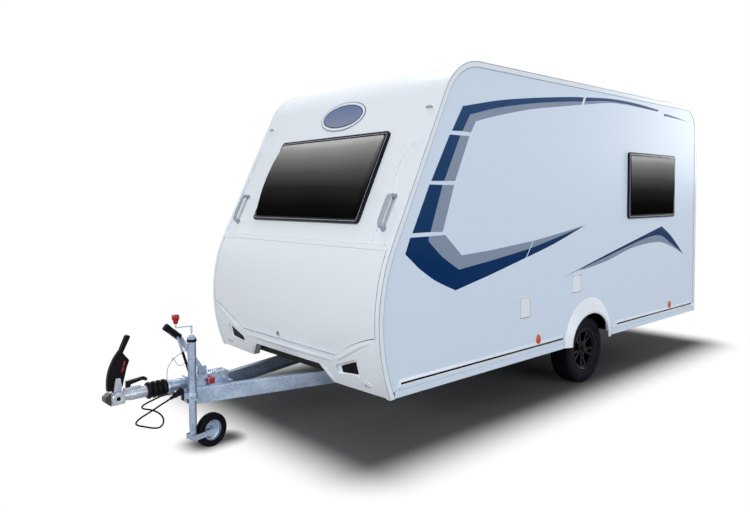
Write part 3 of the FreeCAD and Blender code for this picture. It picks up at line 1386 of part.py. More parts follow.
def handbrake():
    """Flat lever on its pin with its box grip, and the gas strut that lifts it."""
    body = new_body("handbrake_lever")
    half = size.lever_wide / 2
    angle = math.radians(size.grip_angle)
    along = vec(math.cos(angle), math.sin(angle))
    upward = vec(-math.sin(angle), math.cos(angle))
    foot = vec(size.lever_x, size.lever_z)
    neck = foot + vec(size.lever_reach, size.lever_rise)
    shoulder = neck + upward * size.lever_wide
    lever = [
        [(foot.x - half, foot.y), (foot.x, foot.y - half), (foot.x + half, foot.y)],
        [(foot.x + half, foot.y), (neck.x, neck.y)],
        [(neck.x, neck.y), (shoulder.x, shoulder.y)],
        [(shoulder.x, shoulder.y), (foot.x - half, foot.y)],
    ]
    pad(body, sketch(body, "XZ", [lever]), "lever_thick", middle=True)
    start = neck - along * size.grip_round - upward * size.grip_round / 2
    corners = [start, start + along * size.grip_long, start + along * size.grip_long + upward * size.grip_tall,
               start + upward * size.grip_tall]
    grip = sketch(body, "XZ", [softened([(spot.x, spot.y) for spot in corners], size.grip_round)])
    pad(body, grip, "grip_wide", middle=True)
    pocket(body, sketch(body, "XZ", [[circle(foot.x, foot.y, size.lever_pin + size.pin_clear)]]))
    eye = start + along * 2 * size.grip_round + upward * size.strut_drop
    low = (size.lever_x + size.strut_ahead, size.strut_side + size.grip_round,
           size.housing_top + size.seat + size.strut_ball)
    high = (eye.x, size.strut_side + size.grip_round, eye.y)
    strut = tube_along([low, high], size.strut_radius)
    pin = Part.makeCylinder(size.strut_pin, size.strut_side + size.grip_round, vec(eye.x, 0, eye.y), vec(0, 1, 0))
    strut = strut.fuse([pin, Part.makeSphere(size.strut_ball, vec(*low))])
    keep(fuse("handbrake_with_strut", [body, shape("gas_strut", strut)]), "handbrake_lever")


handbrake()


# Jockey wheel: clamp, outer tube with its crank, sliding inner tube, swivelling fork and wheel

def jockey_clamp():
    """Clamp bolted to the left rail, round the outer tube, with its tommy bar."""
    body = new_body("jockey_clamp")
    low = size.bar_low + size.bar_tall - size.clamp_tall - size.clamp_drop
    reach = size.outer_radius + size.clamp_wall
    x, y = size.jockey_x, size.jockey_y
    rear, front = x - reach, x + reach
    loop = [
        [(rear, bar_outer_y(rear)), (size.bar_apex, bar_outer_y(size.bar_apex))],
        [(size.bar_apex, bar_outer_y(size.bar_apex)), (front, size.bar_apex_y)],
        [(front, size.bar_apex_y), (front, y)],
        [(front, y), (x, y + reach), (rear, y)],
        [(rear, y), (rear, bar_outer_y(rear))],
    ]
    pad(body, sketch(body, "XY", [loop], low), "clamp_tall")
    pocket(body, sketch(body, "XY", [[circle(x, y, size.outer_radius + size.pin_clear)]]))
    handle = rod("clamp_handle", "clamp_bar", "clamp_bar_long", "jockey_x + clamp_bar_ahead",
                 "jockey_y + outer_radius", "bar_low + bar_tall - clamp_bar_drop", "y")
    keep(fuse("jockey_clamp", [body, handle]), "jockey_clamp")


def jockey_outer():
    """Tube with a collar near its closed top."""
    tube = rod("outer_tube", "outer_radius", "outer_top - outer_low", "0", "0", "outer_low")
    collar = rod("outer_collar", "outer_radius + collar_proud", "collar_tall", "0", "0",
                 "outer_top - collar_drop - collar_tall")
    bore = rod("outer_bore", "inner_radius + slide_clear", "outer_top - outer_low - outer_cap", "0", "0", "outer_low")
    keep(cut("jockey_outer_tube", fuse("outer_solid", [tube, collar]), [bore]), "jockey_outer_tube", "jockey_x",
         "jockey_y")


def jockey_crank():
    """Bent crank on top of the tube, with its knob."""
    top = size.outer_top
    arm = top + size.crank_height
    throw = size.crank_throw
    path = [(0, 0, top), (0, 0, arm), (throw, 0, arm + size.crank_lean), (throw, 0, arm + size.crank_tail)]
    bar = tube_along(path, size.crank_rod)
    boss = Part.makeCylinder(size.boss_radius, size.crank_boss, vec(0, 0, top))
    knob = Part.makeCone(size.knob_foot, size.knob_radius, size.knob_tall, vec(throw, 0, arm + size.knob_start))
    keep(shape("jockey_crank", bar.fuse([boss, knob])), "jockey_crank", "jockey_x", "jockey_y")


def jockey_inner():
    keep(rod("jockey_inner_tube", "inner_radius", "inner_top - inner_low"), "jockey_inner_tube", "jockey_x",
         "jockey_y", "inner_low")


def castor(item, name):
    """Turn a fork piece about the tube, so that the wheel trails."""
    item.Placement.Rotation = FreeCAD.Rotation(vec(0, 0, 1), size.castor_angle)
    keep(item, name, "jockey_x", "jockey_y")


def jockey_fork():
    """Stem under the inner tube with a yoke whose two arms run back, nearly level, to the wheel's pin."""
    half = size.jockey_wide / 2 + size.fork_gap
    steel = size.fork_steel
    hub, trail = size.jockey_radius, size.fork_trail
    bar = size.fork_bar / 2
    low, high = size.yoke_low, size.yoke_low + size.fork_bar
    front, rear = size.yoke_front, -size.yoke_rear
    arm = [
        [(front, high), (front, low)],
        [(front, low), (-trail, hub - bar)],
        [(-trail, hub - bar), (-trail - bar, hub), (-trail, hub + bar)],
        [(-trail, hub + bar), (front, high)],
    ]
    body = new_body("jockey_fork")
    for side in (LEFT, RIGHT):
        pad(body, sketch(body, "XZ", [arm], side * (half + steel)), "fork_steel", back=side == RIGHT)
        if side == LEFT:
            bridge = sketch(body, "XZ", [chain([(rear, low + steel), (front, low + steel), (front, high - steel),
                                                (rear, high - steel)])], half)
            pad(body, bridge, "jockey_wide + 2 * fork_gap")
    stem = sketch(body, "XY", [[circle(0, 0, size.stem_radius)]], low)
    pad(body, stem, "inner_low - seat - yoke_low")
    pin = sketch(body, "XZ", [[circle(-trail, hub, size.jockey_axle)]], half + steel)
    pad(body, pin, "jockey_wide + 2 * fork_gap + 2 * fork_steel")
    castor(body, "jockey_fork")


def jockey_wheel():
    turn = FreeCAD.Rotation(vec(0, 0, 1), size.castor_angle)
    offset = turn.multVec(vec(-size.fork_trail, 0, 0))
    half = size.jockey_wide / 2
    flange = size.jockey_edge + 1
    rubber = revolved("jockey_tyre", [tyre_outline(size.jockey_radius, half, size.jockey_rim, flange)])
    bore = size.jockey_axle + size.pin_clear
    seat = size.jockey_rim - size.seat
    edge, skin = size.jockey_edge, size.jockey_skin
    flat = half - size.flange_set
    hub, face = size.jockey_hub, half - skin
    foot, head, deep = size.dish_foot, size.dish_head, size.dish_deep
    loop = chain([(bore, -face), (hub - skin / 2, -face), (hub, -deep), (foot, -deep - 1), (head, 0),
                  (seat - skin, 2), (seat - skin, -flat - skin), (edge, -flat - skin), (edge, -flat),
                  (seat, -flat), (seat, flat), (edge, flat), (edge, flat + skin), (seat - skin, flat + skin),
                  (seat - skin, 2 + skin), (head, skin), (foot, skin - deep - 1), (hub, skin - deep),
                  (hub - skin / 2, face), (bore, face)])
    steel_rim = revolved("jockey_rim", [loop])
    for item, name in ((rubber, "jockey_tyre"), (steel_rim, "jockey_rim")):
        item.Placement.Rotation = turn
        keep(item, name, "jockey_x + %.6f" % offset.x, "jockey_y + %.6f" % offset.y, "jockey_radius")


jockey_clamp()
jockey_outer()
jockey_crank()
jockey_inner()
jockey_fork()
jockey_wheel()


# Corner steadies: a bracket under the floor and a leg folded flat

STEADIES = (("front_left", LEFT, 1), ("front_right", RIGHT, 1), ("rear_left", LEFT, -1),
            ("rear_right", RIGHT, -1))


def steady_x(way):
    """Place behind the nose, or ahead of the rear wall."""
    return "nose_reach - steady_behind" if way > 0 else "steady_ahead - rear_overhang"


def steady_y(side):
    """Place beside the chassis rail of its side."""
    return "rail_y + steady_beside" if side == LEFT else "-rail_y - steady_beside"


def steady_brackets():
    items = []
    for tag, side, way in STEADIES:
        x = steady_x(way)
        y = steady_y(side)
        for end, shift in (("out", " + steady_wide / 2 + bracket_gap"),
                           ("in", " - steady_wide / 2 - bracket_gap - steel")):
            items.append(box("ear_%s_%s" % (tag, end), "bracket_long", "steel",
                             "wall_bottom - steady_z + bracket_drop", x + " - bracket_long / 2", y + shift,
                             "steady_z - bracket_drop"))
        items.append(rod("steady_pin_" + tag, "steady_pin", "steady_wide + 2 * bracket_gap + 2 * steel", x,
                         y + " - steady_wide / 2 - bracket_gap - steel", "steady_z", "y"))
    keep(fuse("steady_brackets", items), "steady_brackets")


def steady_leg(tag, side, way):
    """Folded leg: channel open at the top, with a foot plate at its far end."""
    y = steady_y(side)
    start = "0" if way > 0 else "-steady_long"
    eye = rod("steady_eye_" + tag, "steady_tall / 2", "steady_wide", "0", "-steady_wide / 2", "0", "y")
    bar = box("steady_bar_" + tag, "steady_long", "steady_wide", "steady_tall", start, "-steady_wide / 2",
              "-steady_tall / 2")
    foot_x = "steady_long - foot_long" if way > 0 else "-steady_long"
    foot = box("steady_foot_" + tag, "foot_long", "foot_wide", "foot_thick", foot_x, "-foot_wide / 2",
               "-steady_tall / 2 - foot_thick")
    slot_x = "steady_tall" if way > 0 else "-steady_long + steel"
    slot = box("steady_slot_" + tag, "steady_long - steady_tall - steel", "steady_wide - 2 * steel",
               "steady_tall", slot_x, "steel - steady_wide / 2", "steel - steady_tall / 2")
    bore = rod("steady_bore_" + tag, "steady_pin + pin_clear", "2 * steady_wide", "0", "-steady_wide", "0", "y")
    leg = cut("steady_leg_" + tag, fuse("steady_solid_" + tag, [eye, bar, foot]), [slot, bore])
    keep(leg, "steady_leg_" + tag, steady_x(way), y, "steady_z")


steady_brackets()
for steady in STEADIES:
    steady_leg(*steady)


# Cords

CABLE_RADIUS = 5.5
BRAKE_CABLE_RADIUS = 1.75
# The plug's two ends: where the cable enters it and where it sits in its holder.
PLUG_REAR = (3366, 70, 366)
PLUG_FRONT = (3288, 64, 398)


def cord(name, points, radius):
    """A tube of straight runs joined by tangent arcs, each arc as large as its runs allow."""
    corners = [vec(*point) for point in points]
    edges = []
    start = corners[0]
    radii = []
    for before, corner, after in zip(corners, corners[1:], corners[2:]):
        into = (corner - before).normalize()
        away = (after - corner).normalize()
        shorter = min((corner - before).Length, (after - corner).Length)
        reach = 0.45 * shorter
        half_turn = into.getAngle(away) / 2
        arc_radius = reach / math.tan(half_turn)
        radii.append(arc_radius)
        enter = corner - into * reach
        leave = corner + away * reach
        inward = (away - into).normalize()
        middle = corner + inward * (arc_radius / math.cos(half_turn) - arc_radius)
        edges.append(Part.LineSegment(start, enter).toShape())
        edges.append(Part.Arc(enter, middle, leave).toShape())
        start = leave
    edges.append(Part.LineSegment(start, corners[-1]).toShape())
    wire = Part.Wire(edges)
    profile = Part.Wire([Part.Circle(corners[0], corners[1] - corners[0], radius).toShape()])
    solid = wire.makePipeShell([profile], True, False)
    length = wire.Length
    full = math.pi * radius ** 2 * length
    print("%s: length %.0f, arcs %s, volume share %.4f" % (
        name, length, " ".join("%.0f" % item for item in radii), solid.Volume / full))
    return keep(shape(name, solid), name)


cord("connector_cable", [
    (size.gland_x, size.gland_y, size.gland_z), (3374, -30, 366), (3400, -34, 358), (3441, -49, 341),
    (3471, -91, 314), (3469, -141, 282), (3434, -179, 254), (3385, -208, 233), (3333, -203, 206), (3308, -174, 172),
    (3323, -137, 141), (3365, -111, 129), (3419, -97, 147), (3470, -85, 171), (3522, -72, 195), (3551, -32, 227), (3541, 11, 266), (3498, 38, 295),
    (3453, 61, 325), (3418, 70, 346), (3397.333, 72.41, 353.145), PLUG_REAR],
    CABLE_RADIUS)
cord("breakaway_cable", [
    (3226, 5, 640), (3268, 9, 628), (3310, 6, 602), (3340, 2, 566), (3354, 0, 524), (3355, 0, 474.3)],
    BRAKE_CABLE_RADIUS)


def plug():
    """Connector plug, pushed into its holder beside the housing."""
    start = vec(*PLUG_REAR)
    end = vec(*PLUG_FRONT)
    axis = end - start
    step = FreeCAD.Vector(axis).normalize()
    neck, waist = size.plug_boot, size.plug_boot + size.plug_waist
    boot = Part.makeCone(size.plug_mouth, size.plug_throat, neck, start, step)
    barrel = Part.makeCylinder(size.plug_barrel, size.plug_waist, start + step * neck, step)
    shell = Part.makeCylinder(size.plug_radius, axis.Length - waist, start + step * waist, step)
    keep(shape("connector_plug", boot.fuse([barrel, shell])), "connector_plug")
    disc = Part.makeCylinder(size.plug_radius + 1, size.holder_thick, end + step * size.seat, step)
    web = Part.makeBox(size.web_long, size.web_wide, size.holder_thick, vec(3274, 8, 393))
    tube = Part.makeCylinder(size.barrel_radius, 2 * size.web_wide,
                             vec(PLUG_FRONT[0] - size.web_wide, 0, size.ball_height), vec(1, 0, 0))
    keep(shape("plug_holder", disc.fuse(web).cut(tube).removeSplitter()), "plug_holder")


plug()

doc.recompute()


# Test every piece, then write it

def check():
    broken = [item.Name for item in doc.Objects if "Invalid" in item.State or "Error" in item.State]
    for item in parts:
        solid = item.Shape
        if solid.isNull() or not solid.isValid() or solid.Volume <= 0:
            broken.append(item.Label)
    if broken:
        raise RuntimeError("broken pieces: " + ", ".join(broken))


def write():
    os.makedirs("parts", exist_ok=True)
    for item in parts:
        item.Shape.exportStep("parts/%s.step" % item.Label)


check()
write()
whole = FreeCAD.BoundBox()
for item in parts:
    whole.add(item.Shape.BoundBox)
print(len(parts), "pieces,", "length %.0f width %.0f height %.0f" % (whole.XLength, whole.YLength, whole.ZLength))
print("x %.1f to %.1f, lowest z %.2f" % (whole.XMin, whole.XMax, whole.ZMin))
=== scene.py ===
import json
from math import copysign, cos, hypot, pi, radians, sin, sqrt, tan
import bmesh
import bpy
from mathutils import Matrix, Vector
from mathutils.geometry import tessellate_polygon


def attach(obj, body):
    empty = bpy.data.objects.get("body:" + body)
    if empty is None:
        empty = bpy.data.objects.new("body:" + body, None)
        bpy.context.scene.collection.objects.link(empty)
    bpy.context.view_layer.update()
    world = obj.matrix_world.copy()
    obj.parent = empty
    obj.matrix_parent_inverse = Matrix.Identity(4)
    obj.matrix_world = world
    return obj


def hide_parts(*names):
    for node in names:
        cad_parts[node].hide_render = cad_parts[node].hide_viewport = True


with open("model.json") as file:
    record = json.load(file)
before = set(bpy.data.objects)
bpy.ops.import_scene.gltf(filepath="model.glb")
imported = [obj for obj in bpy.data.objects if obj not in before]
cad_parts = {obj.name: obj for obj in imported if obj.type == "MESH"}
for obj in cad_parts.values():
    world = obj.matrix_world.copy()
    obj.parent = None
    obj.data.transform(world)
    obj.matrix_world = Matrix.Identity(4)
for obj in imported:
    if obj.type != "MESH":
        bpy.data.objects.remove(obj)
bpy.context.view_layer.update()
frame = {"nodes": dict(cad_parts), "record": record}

NODES = frame["nodes"]

# Measures of the caravan in metres, the same as in the part's source.
AXLE_SHIFT = 0.7575        # the middle of the length lies this far ahead of the axle
HALF_WIDTH = 1.05
ROOF = 2.575
NOSE_REACH, NOSE_HEIGHT = 2.472, 0.84
NOSE_UPPER, NOSE_LOWER = 1.12, 1.218
SLOPE = radians(26)
SLOPE_UP = Vector((-sin(SLOPE), 0, cos(SLOPE)))
SLOPE_OUT = Vector((cos(SLOPE), 0, sin(SLOPE)))
SIDES = ((1, "left"), (-1, "right"))
X, Y, Z = (1, 0, 0), (0, 1, 0), (0, 0, 1)


def at(x, y, z):
    """A point given from the axle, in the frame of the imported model."""
    return Vector((x - AXLE_SHIFT, y, z))


def placed(name, data):
    """A new object of the scene."""
    item = bpy.data.objects.new(name, data)
    bpy.context.scene.collection.objects.link(item)
    return item


# Camera, solved from the photograph: its place, its turns, and its focal length and shifts in pixels

SENSOR, PICTURE_WIDTH = 36.0, 750
CAMERA_PLACE = (5.045, 3.904, 1.638)
YAW, PITCH, ROLL = radians(228.157), radians(-2.325), radians(-0.276)
FOCAL, SHIFT_X, SHIFT_Y = 636.244, -0.907, -33.49


def set_camera():
    ahead = Vector((cos(YAW) * cos(PITCH), sin(YAW) * cos(PITCH), sin(PITCH)))
    right = ahead.cross(Vector(Z)).normalized()
    up = right.cross(ahead)
    right_rolled = right * cos(ROLL) + up * sin(ROLL)
    up_rolled = up * cos(ROLL) - right * sin(ROLL)
    data = bpy.data.cameras.new("camera")
    data.sensor_width = SENSOR
    data.lens = SENSOR * FOCAL / PICTURE_WIDTH
    data.shift_x = SHIFT_X / PICTURE_WIDTH
    data.shift_y = SHIFT_Y / PICTURE_WIDTH
    camera = placed("camera", data)
    turn = Matrix((right_rolled, up_rolled, -ahead)).transposed().to_4x4()
    camera.matrix_world = Matrix.Translation(at(*CAMERA_PLACE)) @ turn
    bpy.context.scene.camera = camera


set_camera()


# Materials: every one has its own colour change, roughness and relief, worked out from object coordinates.

class Net:
    """The shader nodes of a material or a world, with one call for each kind that is used often."""

    def __init__(self, owner):
        owner.use_nodes = True
        self.nodes, self.link = owner.node_tree.nodes, owner.node_tree.links.new

    def put(self, slot, value):
        """A number, a colour or another node's socket goes into an input."""
        if isinstance(value, bpy.types.NodeSocket):
            self.link(value, slot)
        else:
            slot.default_value = value

    def new(self, kind, **values):
        """A node with inputs by name, an underscore standing for a space."""
        item = self.nodes.new("ShaderNode" + kind)
        for name, value in values.items():
            self.put(item.inputs[name.replace("_", " ")], value)
        return item

    def math(self, operation, *values):
        item = self.new("Math")
        item.operation = operation
        for slot, value in zip(item.inputs, values):
            self.put(slot, value)
        return item.outputs[0]

    def place(self):
        return self.new("TexCoord").outputs["Object"]

    def axis(self, where, letter):
        return self.new("SeparateXYZ", Vector=where).outputs[letter]

    def noise(self, where, scale, detail=3.0):
        return self.new("TexNoise", Vector=where, Scale=scale, Detail=detail).outputs["Fac"]

    def ramp(self, source, low, high, start=0.3, end=0.7):
        item = self.new("MapRange", Value=source, From_Min=start, From_Max=end, To_Min=low, To_Max=high)
        return item.outputs["Result"]

    def relief(self, height, strength, distance):
        return self.new("Bump", Height=height, Strength=strength, Distance=distance).outputs["Normal"]

    def mixed(self, factor, first, second):
        item = self.new("Mix")
        item.data_type = "RGBA"
        self.link(factor, item.inputs["Factor"])
        for name, colour in (("A", first), ("B", second)):
            slot = next(s for s in item.inputs if s.name == name and s.type == "RGBA")
            self.put(slot, (*colour, 1.0) if isinstance(colour, tuple) else colour)
        return next(s for s in item.outputs if s.type == "RGBA")

    def either(self, factor, first, second):
        """One shader or another."""
        item = self.new("MixShader")
        for slot, source in zip(item.inputs, (factor, first, second)):
            self.link(source.outputs[0] if isinstance(source, bpy.types.Node) else source, slot)
        return item.outputs[0]

    def seen(self, *kinds):
        """Whether a ray is of one of two kinds."""
        path = self.new("LightPath")
        return self.math("MAXIMUM", *(path.outputs["Is %s Ray" % kind] for kind in kinds))

    def clouded_height(self, where, bottom, top, scale, detail, spread):
        """Height from 0 to 1 between two levels, a little uneven."""
        height = self.ramp(self.axis(where, "Z"), 0.0, 1.0, bottom, top)
        return self.math("ADD", height, self.ramp(self.noise(where, scale, detail), -spread, spread))


def fresh(name):
    """A new material, its nodes and its shader's inputs."""
    material = bpy.data.materials.new(name)
    net = Net(material)
    return material, net, net.nodes["Principled BSDF"].inputs


def surface(name, light, dark, rough, patch, grain, metal=0.0, depth=0.00005, strength=0.4, specular=0.5,
        spangle=0.0, stretch=None, zone=None, other=None):
    """Paint, plastic, rubber or metal, softly patchy with a fine grain, and of another colour in a zone."""
    material, net, shader = fresh(name)
    place = where = net.place()
    if stretch:
        where = net.new("Mapping", Vector=where, Scale=stretch).outputs["Vector"]
    factor = net.noise(where, patch, 4.0)
    if spangle:
        cells = net.new("TexVoronoi", Vector=where, Scale=spangle)
        crystal = net.new("SeparateColor", Color=cells.outputs["Color"])
        factor = net.math("ADD", factor, net.math("MULTIPLY", crystal.outputs[0], 0.25))
    colour = net.mixed(net.ramp(factor, 0.0, 1.0, 0.3, 0.85 if spangle else 0.7), light, dark)
    if zone:
        inside = zone(net, place)
        colour = net.mixed(inside, colour, other)
        metal = net.ramp(inside, metal, 0.0, 0.0, 1.0)
    net.put(shader["Base Color"], colour)
    net.put(shader["Metallic"], metal)
    net.put(shader["Roughness"], net.ramp(net.noise(where, patch * 3), *rough))
    net.put(shader["Normal"], net.relief(net.noise(where, grain, 2.0), strength, depth))
    net.put(shader["Specular IOR Level"], specular)
    return material


# Shares of a pane's height and how light it is there: a painted reflection of bright sky above and of
# darkness below.
PAINTED_SKY_REFLECTION = ((0.0, 0.003), (0.2, 0.006), (0.42, 0.022), (0.62, 0.085), (0.8, 0.19), (0.93, 0.31), (1.0, 0.5))


def pane_with_painted_reflection(name, bottom, top):
    """Dark acrylic whose colour is a painted sky reflection, lighter towards its top; the shader's own
    reflection is turned off.
    """
    material, net, shader = fresh(name)
    where = net.place()
    painted_reflection_ramp = net.new("ValToRGB", Fac=net.clouded_height(where, bottom, top, 1.3, 1.0, 0.03))
    stops = painted_reflection_ramp.color_ramp.elements
    while len(stops) < len(PAINTED_SKY_REFLECTION):
        stops.new(0.5)
    for stop, (share, light) in zip(stops, PAINTED_SKY_REFLECTION):
        stop.position = share
        stop.color = (light, light, 0.97 * light, 1)
    net.put(shader["Base Color"], painted_reflection_ramp.outputs["Color"])
    net.put(shader["Roughness"], net.ramp(net.noise(where, 5.0), 0.05, 0.09))
    net.put(shader["Specular IOR Level"], 0.0)
    return material


def vinyl(name, low, high, bottom, top):
    """Stripe film whose colour changes from low to high on the wall."""
    material, net, shader = fresh(name)
    where = net.place()
    level = net.clouded_height(where, bottom, top, 3.0, 2.0, 0.06)
    net.put(shader["Base Color"], net.mixed(level, low, high))
    net.put(shader["Roughness"], net.ramp(net.noise(where, 8.0), 0.32, 0.4))
    net.put(shader["Normal"], net.relief(net.noise(where, 250.0), 0.05, 0.00005))
    net.put(shader["Specular IOR Level"], 0.03)
    return material


NOSE_START, NOSE_HALF = 3.713, 0.0285


def nose_zone(net, where):
    """The tip of the coupling head, between its pad caps."""
    ahead = net.math("GREATER_THAN", net.axis(where, "X"), NOSE_START - AXLE_SHIFT)
    aside = net.math("ABSOLUTE", net.axis(where, "Y"))
    return net.math("MULTIPLY", ahead, net.math("LESS_THAN", aside, NOSE_HALF))


SMOOTH = {"depth": 0.00002, "strength": 0.1}
# The walls' and roof's white is bluer and greyer than the mouldings': partly their own white, partly painted
# shade of the side walls.
WALL_WHITE_WITH_PAINTED_SHADE = surface("wall white with painted shade", (0.7, 0.805, 0.935), (0.695, 0.8, 0.931), (0.33, 0.36), 0.6, 900, **SMOOTH,
    specular=0.15)
WHITE_MOULDING = surface("moulding white", (0.82, 0.868, 0.928), (0.815, 0.864, 0.925), (0.3, 0.33), 1.0, 800,
    **SMOOTH, specular=0.4)
WHITE_TRIM = surface("trim white", (0.825, 0.87, 0.928), (0.82, 0.865, 0.924), (0.28, 0.31), 0.8, 700,
    **SMOOTH, specular=0.4)
SEAM_GREY = surface("seam grey", (0.28, 0.34, 0.44), (0.24, 0.3, 0.4), (0.4, 0.5), 20, 900, specular=0.2)
GREY_GRIP = surface("grip grey", (0.38, 0.4, 0.46), (0.32, 0.34, 0.4), (0.35, 0.45), 30, 900)
# The floor board is nearly black, far darker than wood, as painted shade under the body.
BOARD_WITH_PAINTED_SHADE = surface("floor board with painted shade", (0.014, 0.013, 0.012), (0.009, 0.008, 0.008), (0.7, 0.8), 5, 120, depth=0.0004,
    specular=0.2, stretch=(1, 8, 1))
FRAME_BLACK = surface("window frame black", (0.005, 0.006, 0.01), (0.009, 0.01, 0.016), (0.2, 0.28), 8, 900,
    depth=0.00003, specular=0.1)
# The panes' colours paint a sky reflection between these heights.
PANE = pane_with_painted_reflection("window pane painted reflection", 1.465, 2.055)
SIDE_PANE = pane_with_painted_reflection("side glazing painted reflection", 1.45, 1.995)
REAR_PANE = pane_with_painted_reflection("rear glazing painted reflection", 1.435, 1.92)
ACRYLIC = surface("hatch acrylic", (0.8, 0.82, 0.84), (0.74, 0.77, 0.8), (0.15, 0.25), 4, 300)
BLACK_PLASTIC = surface("black plastic", (0.004, 0.004, 0.005), (0.008, 0.008, 0.01), (0.4, 0.5), 30, 1500,
    depth=0.0001, specular=0.05)
RUBBER = surface("black rubber", (0.004, 0.004, 0.005), (0.008, 0.008, 0.009), (0.4, 0.5), 25, 900,
    depth=0.0001, specular=0.06)
CABLE_BLACK = surface("cable black", (0.003, 0.003, 0.004), (0.006, 0.006, 0.007), (0.32, 0.42), 40, 1800,
    specular=0.04)
CABLE_RED = surface("cable red", (0.22, 0.016, 0.02), (0.13, 0.01, 0.012), (0.3, 0.4), 60, 2500, specular=0.2)
TYRE = surface("tyre rubber", (0.004, 0.005, 0.008), (0.008, 0.009, 0.013), (0.45, 0.6), 14, 700,
    depth=0.00015, specular=0.03)
ALLOY_BLACK = surface("alloy black", (0.004, 0.004, 0.007), (0.008, 0.008, 0.012), (0.3, 0.38), 15, 1200,
    specular=0.05)
DRUM = surface("drum iron", (0.02, 0.02, 0.023), (0.035, 0.03, 0.028), (0.6, 0.75), 20, 500, metal=0.4,
    depth=0.0002, specular=0.3)
GALVANISED = surface("galvanised steel", (0.42, 0.5, 0.62), (0.2, 0.26, 0.36), (0.36, 0.5), 7, 350, metal=0.7,
    depth=0.00008, spangle=110)
BRIGHT_STEEL = surface("bright steel", (0.46, 0.5, 0.57), (0.34, 0.38, 0.44), (0.25, 0.38), 30, 900,
    metal=0.8)
CAST_SILVER = surface("cast silver", (0.42, 0.45, 0.52), (0.3, 0.33, 0.39), (0.34, 0.48), 25, 600, metal=0.6,
    depth=0.0003, zone=nose_zone, other=(0.006, 0.006, 0.008))
LAMP_CLEAR = surface("lamp clear", (0.42, 0.44, 0.5), (0.36, 0.38, 0.43), (0.08, 0.14), 30, 300, specular=0.3)
LAMP_ORANGE = surface("lamp orange", (0.66, 0.105, 0.006), (0.5, 0.07, 0.004), (0.15, 0.22), 60, 400,
    specular=0.25)
LAMP_RED = surface("lamp red", (0.55, 0.012, 0.014), (0.4, 0.008, 0.01), (0.1, 0.18), 40, 400)
RED_PLASTIC = surface("red plastic", (0.42, 0.008, 0.014), (0.3, 0.006, 0.01), (0.3, 0.4), 40, 1500,
    specular=0.3)
NAVY = vinyl("stripe navy", (0.0005, 0.028, 0.108), (0.026, 0.072, 0.18), 1.15, 2.35)
SLATE = vinyl("stripe slate", (0.255, 0.31, 0.415), (0.285, 0.335, 0.44), 1.0, 2.4)
BADGE_BLUE = vinyl("badge blue", (0.27, 0.3, 0.41), (0.15, 0.205, 0.37), 2.16, 2.34)
BADGE_RING = vinyl("badge ring", (0.05, 0.075, 0.15), (0.06, 0.09, 0.18), 2.16, 2.34)

SLOT_MATERIALS = {"wall_white": WALL_WHITE_WITH_PAINTED_SHADE, "moulding_white": WHITE_MOULDING, "trim_white": WHITE_TRIM,
    "floor_board": BOARD_WITH_PAINTED_SHADE, "window_frame": FRAME_BLACK, "window_tint": PANE, "hatch_acrylic": ACRYLIC,
    "black_plastic": BLACK_PLASTIC, "rubber_black": RUBBER, "cable_black": CABLE_BLACK,
    "cable_red": CABLE_RED, "tyre_rubber": TYRE, "alloy_black": ALLOY_BLACK, "drum_iron": DRUM,
    "galvanised": GALVANISED, "cast_silver": CAST_SILVER, "lamp_clear": LAMP_CLEAR,
    "lamp_orange": LAMP_ORANGE, "lamp_red": LAMP_RED}
NODE_MATERIALS = {"side_skirts": WALL_WHITE_WITH_PAINTED_SHADE, "jockey_crank": BRIGHT_STEEL}
for part in frame["record"]["subparts"]:
    node = NODES[part["node"]]
    node.data.materials.clear()
    node.data.materials.append(NODE_MATERIALS.get(part["node"], SLOT_MATERIALS[part["material_slot"]]))


# Cords: the same route points as the part's source

def cord_curve(name, route, diameter, material, node, **facts):
    data = bpy.data.curves.new(name, "CURVE")
    data.dimensions = "3D"
    data.bevel_depth = diameter / 2
    data.bevel_resolution = 6
    data.resolution_u = 12
    data.use_fill_caps = True
    spline = data.splines.new("NURBS")
    spline.points.add(len(route) - 1)
    for point, place in zip(spline.points, route):
        point.co = (*at(*place), 1.0)
    spline.order_u = 3
    spline.use_endpoint_u = True
    curve = placed(name, data)
    data.materials.append(material)
    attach(curve, "caravan")
    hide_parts(node)


CABLE_ROUTE = [(3.33, -0.03, 0.366), (3.374, -0.03, 0.366), (3.4, -0.034, 0.358), (3.441, -0.049, 0.341),
    (3.471, -0.091, 0.314), (3.469, -0.141, 0.282), (3.434, -0.179, 0.254), (3.385, -0.208, 0.233),
    (3.333, -0.203, 0.206), (3.308, -0.174, 0.172), (3.323, -0.137, 0.141), (3.365, -0.111, 0.129),
    (3.419, -0.097, 0.147), (3.47, -0.085, 0.171), (3.522, -0.072, 0.195), (3.551, -0.032, 0.227),
    (3.541, 0.011, 0.266), (3.498, 0.038, 0.295), (3.453, 0.061, 0.325), (3.418, 0.07, 0.346),
    (3.397333, 0.07241, 0.353145), (3.366, 0.07, 0.366)]
BRAKE_ROUTE = [(3.226, 0.005, 0.64), (3.268, 0.009, 0.628), (3.31, 0.006, 0.602), (3.34, 0.002, 0.566),
    (3.354, 0.0, 0.524), (3.355, 0.0, 0.4743)]
cord_curve("trailer_cable", CABLE_ROUTE, 0.011, CABLE_BLACK, "connector_cable", length=1.05, far_end="plug",
    stiffness="medium", lay="hanging", with_pieces=[NODES["connector_plug"]])
cord_curve("brake_cable", BRAKE_ROUTE, 0.0035, CABLE_RED, "breakaway_cable", length=0.233, far_end="object",
    stiffness="stiff", lay="hanging")


# Floor, background and light

DAYLIGHT = (0.93, 0.96, 1.0)


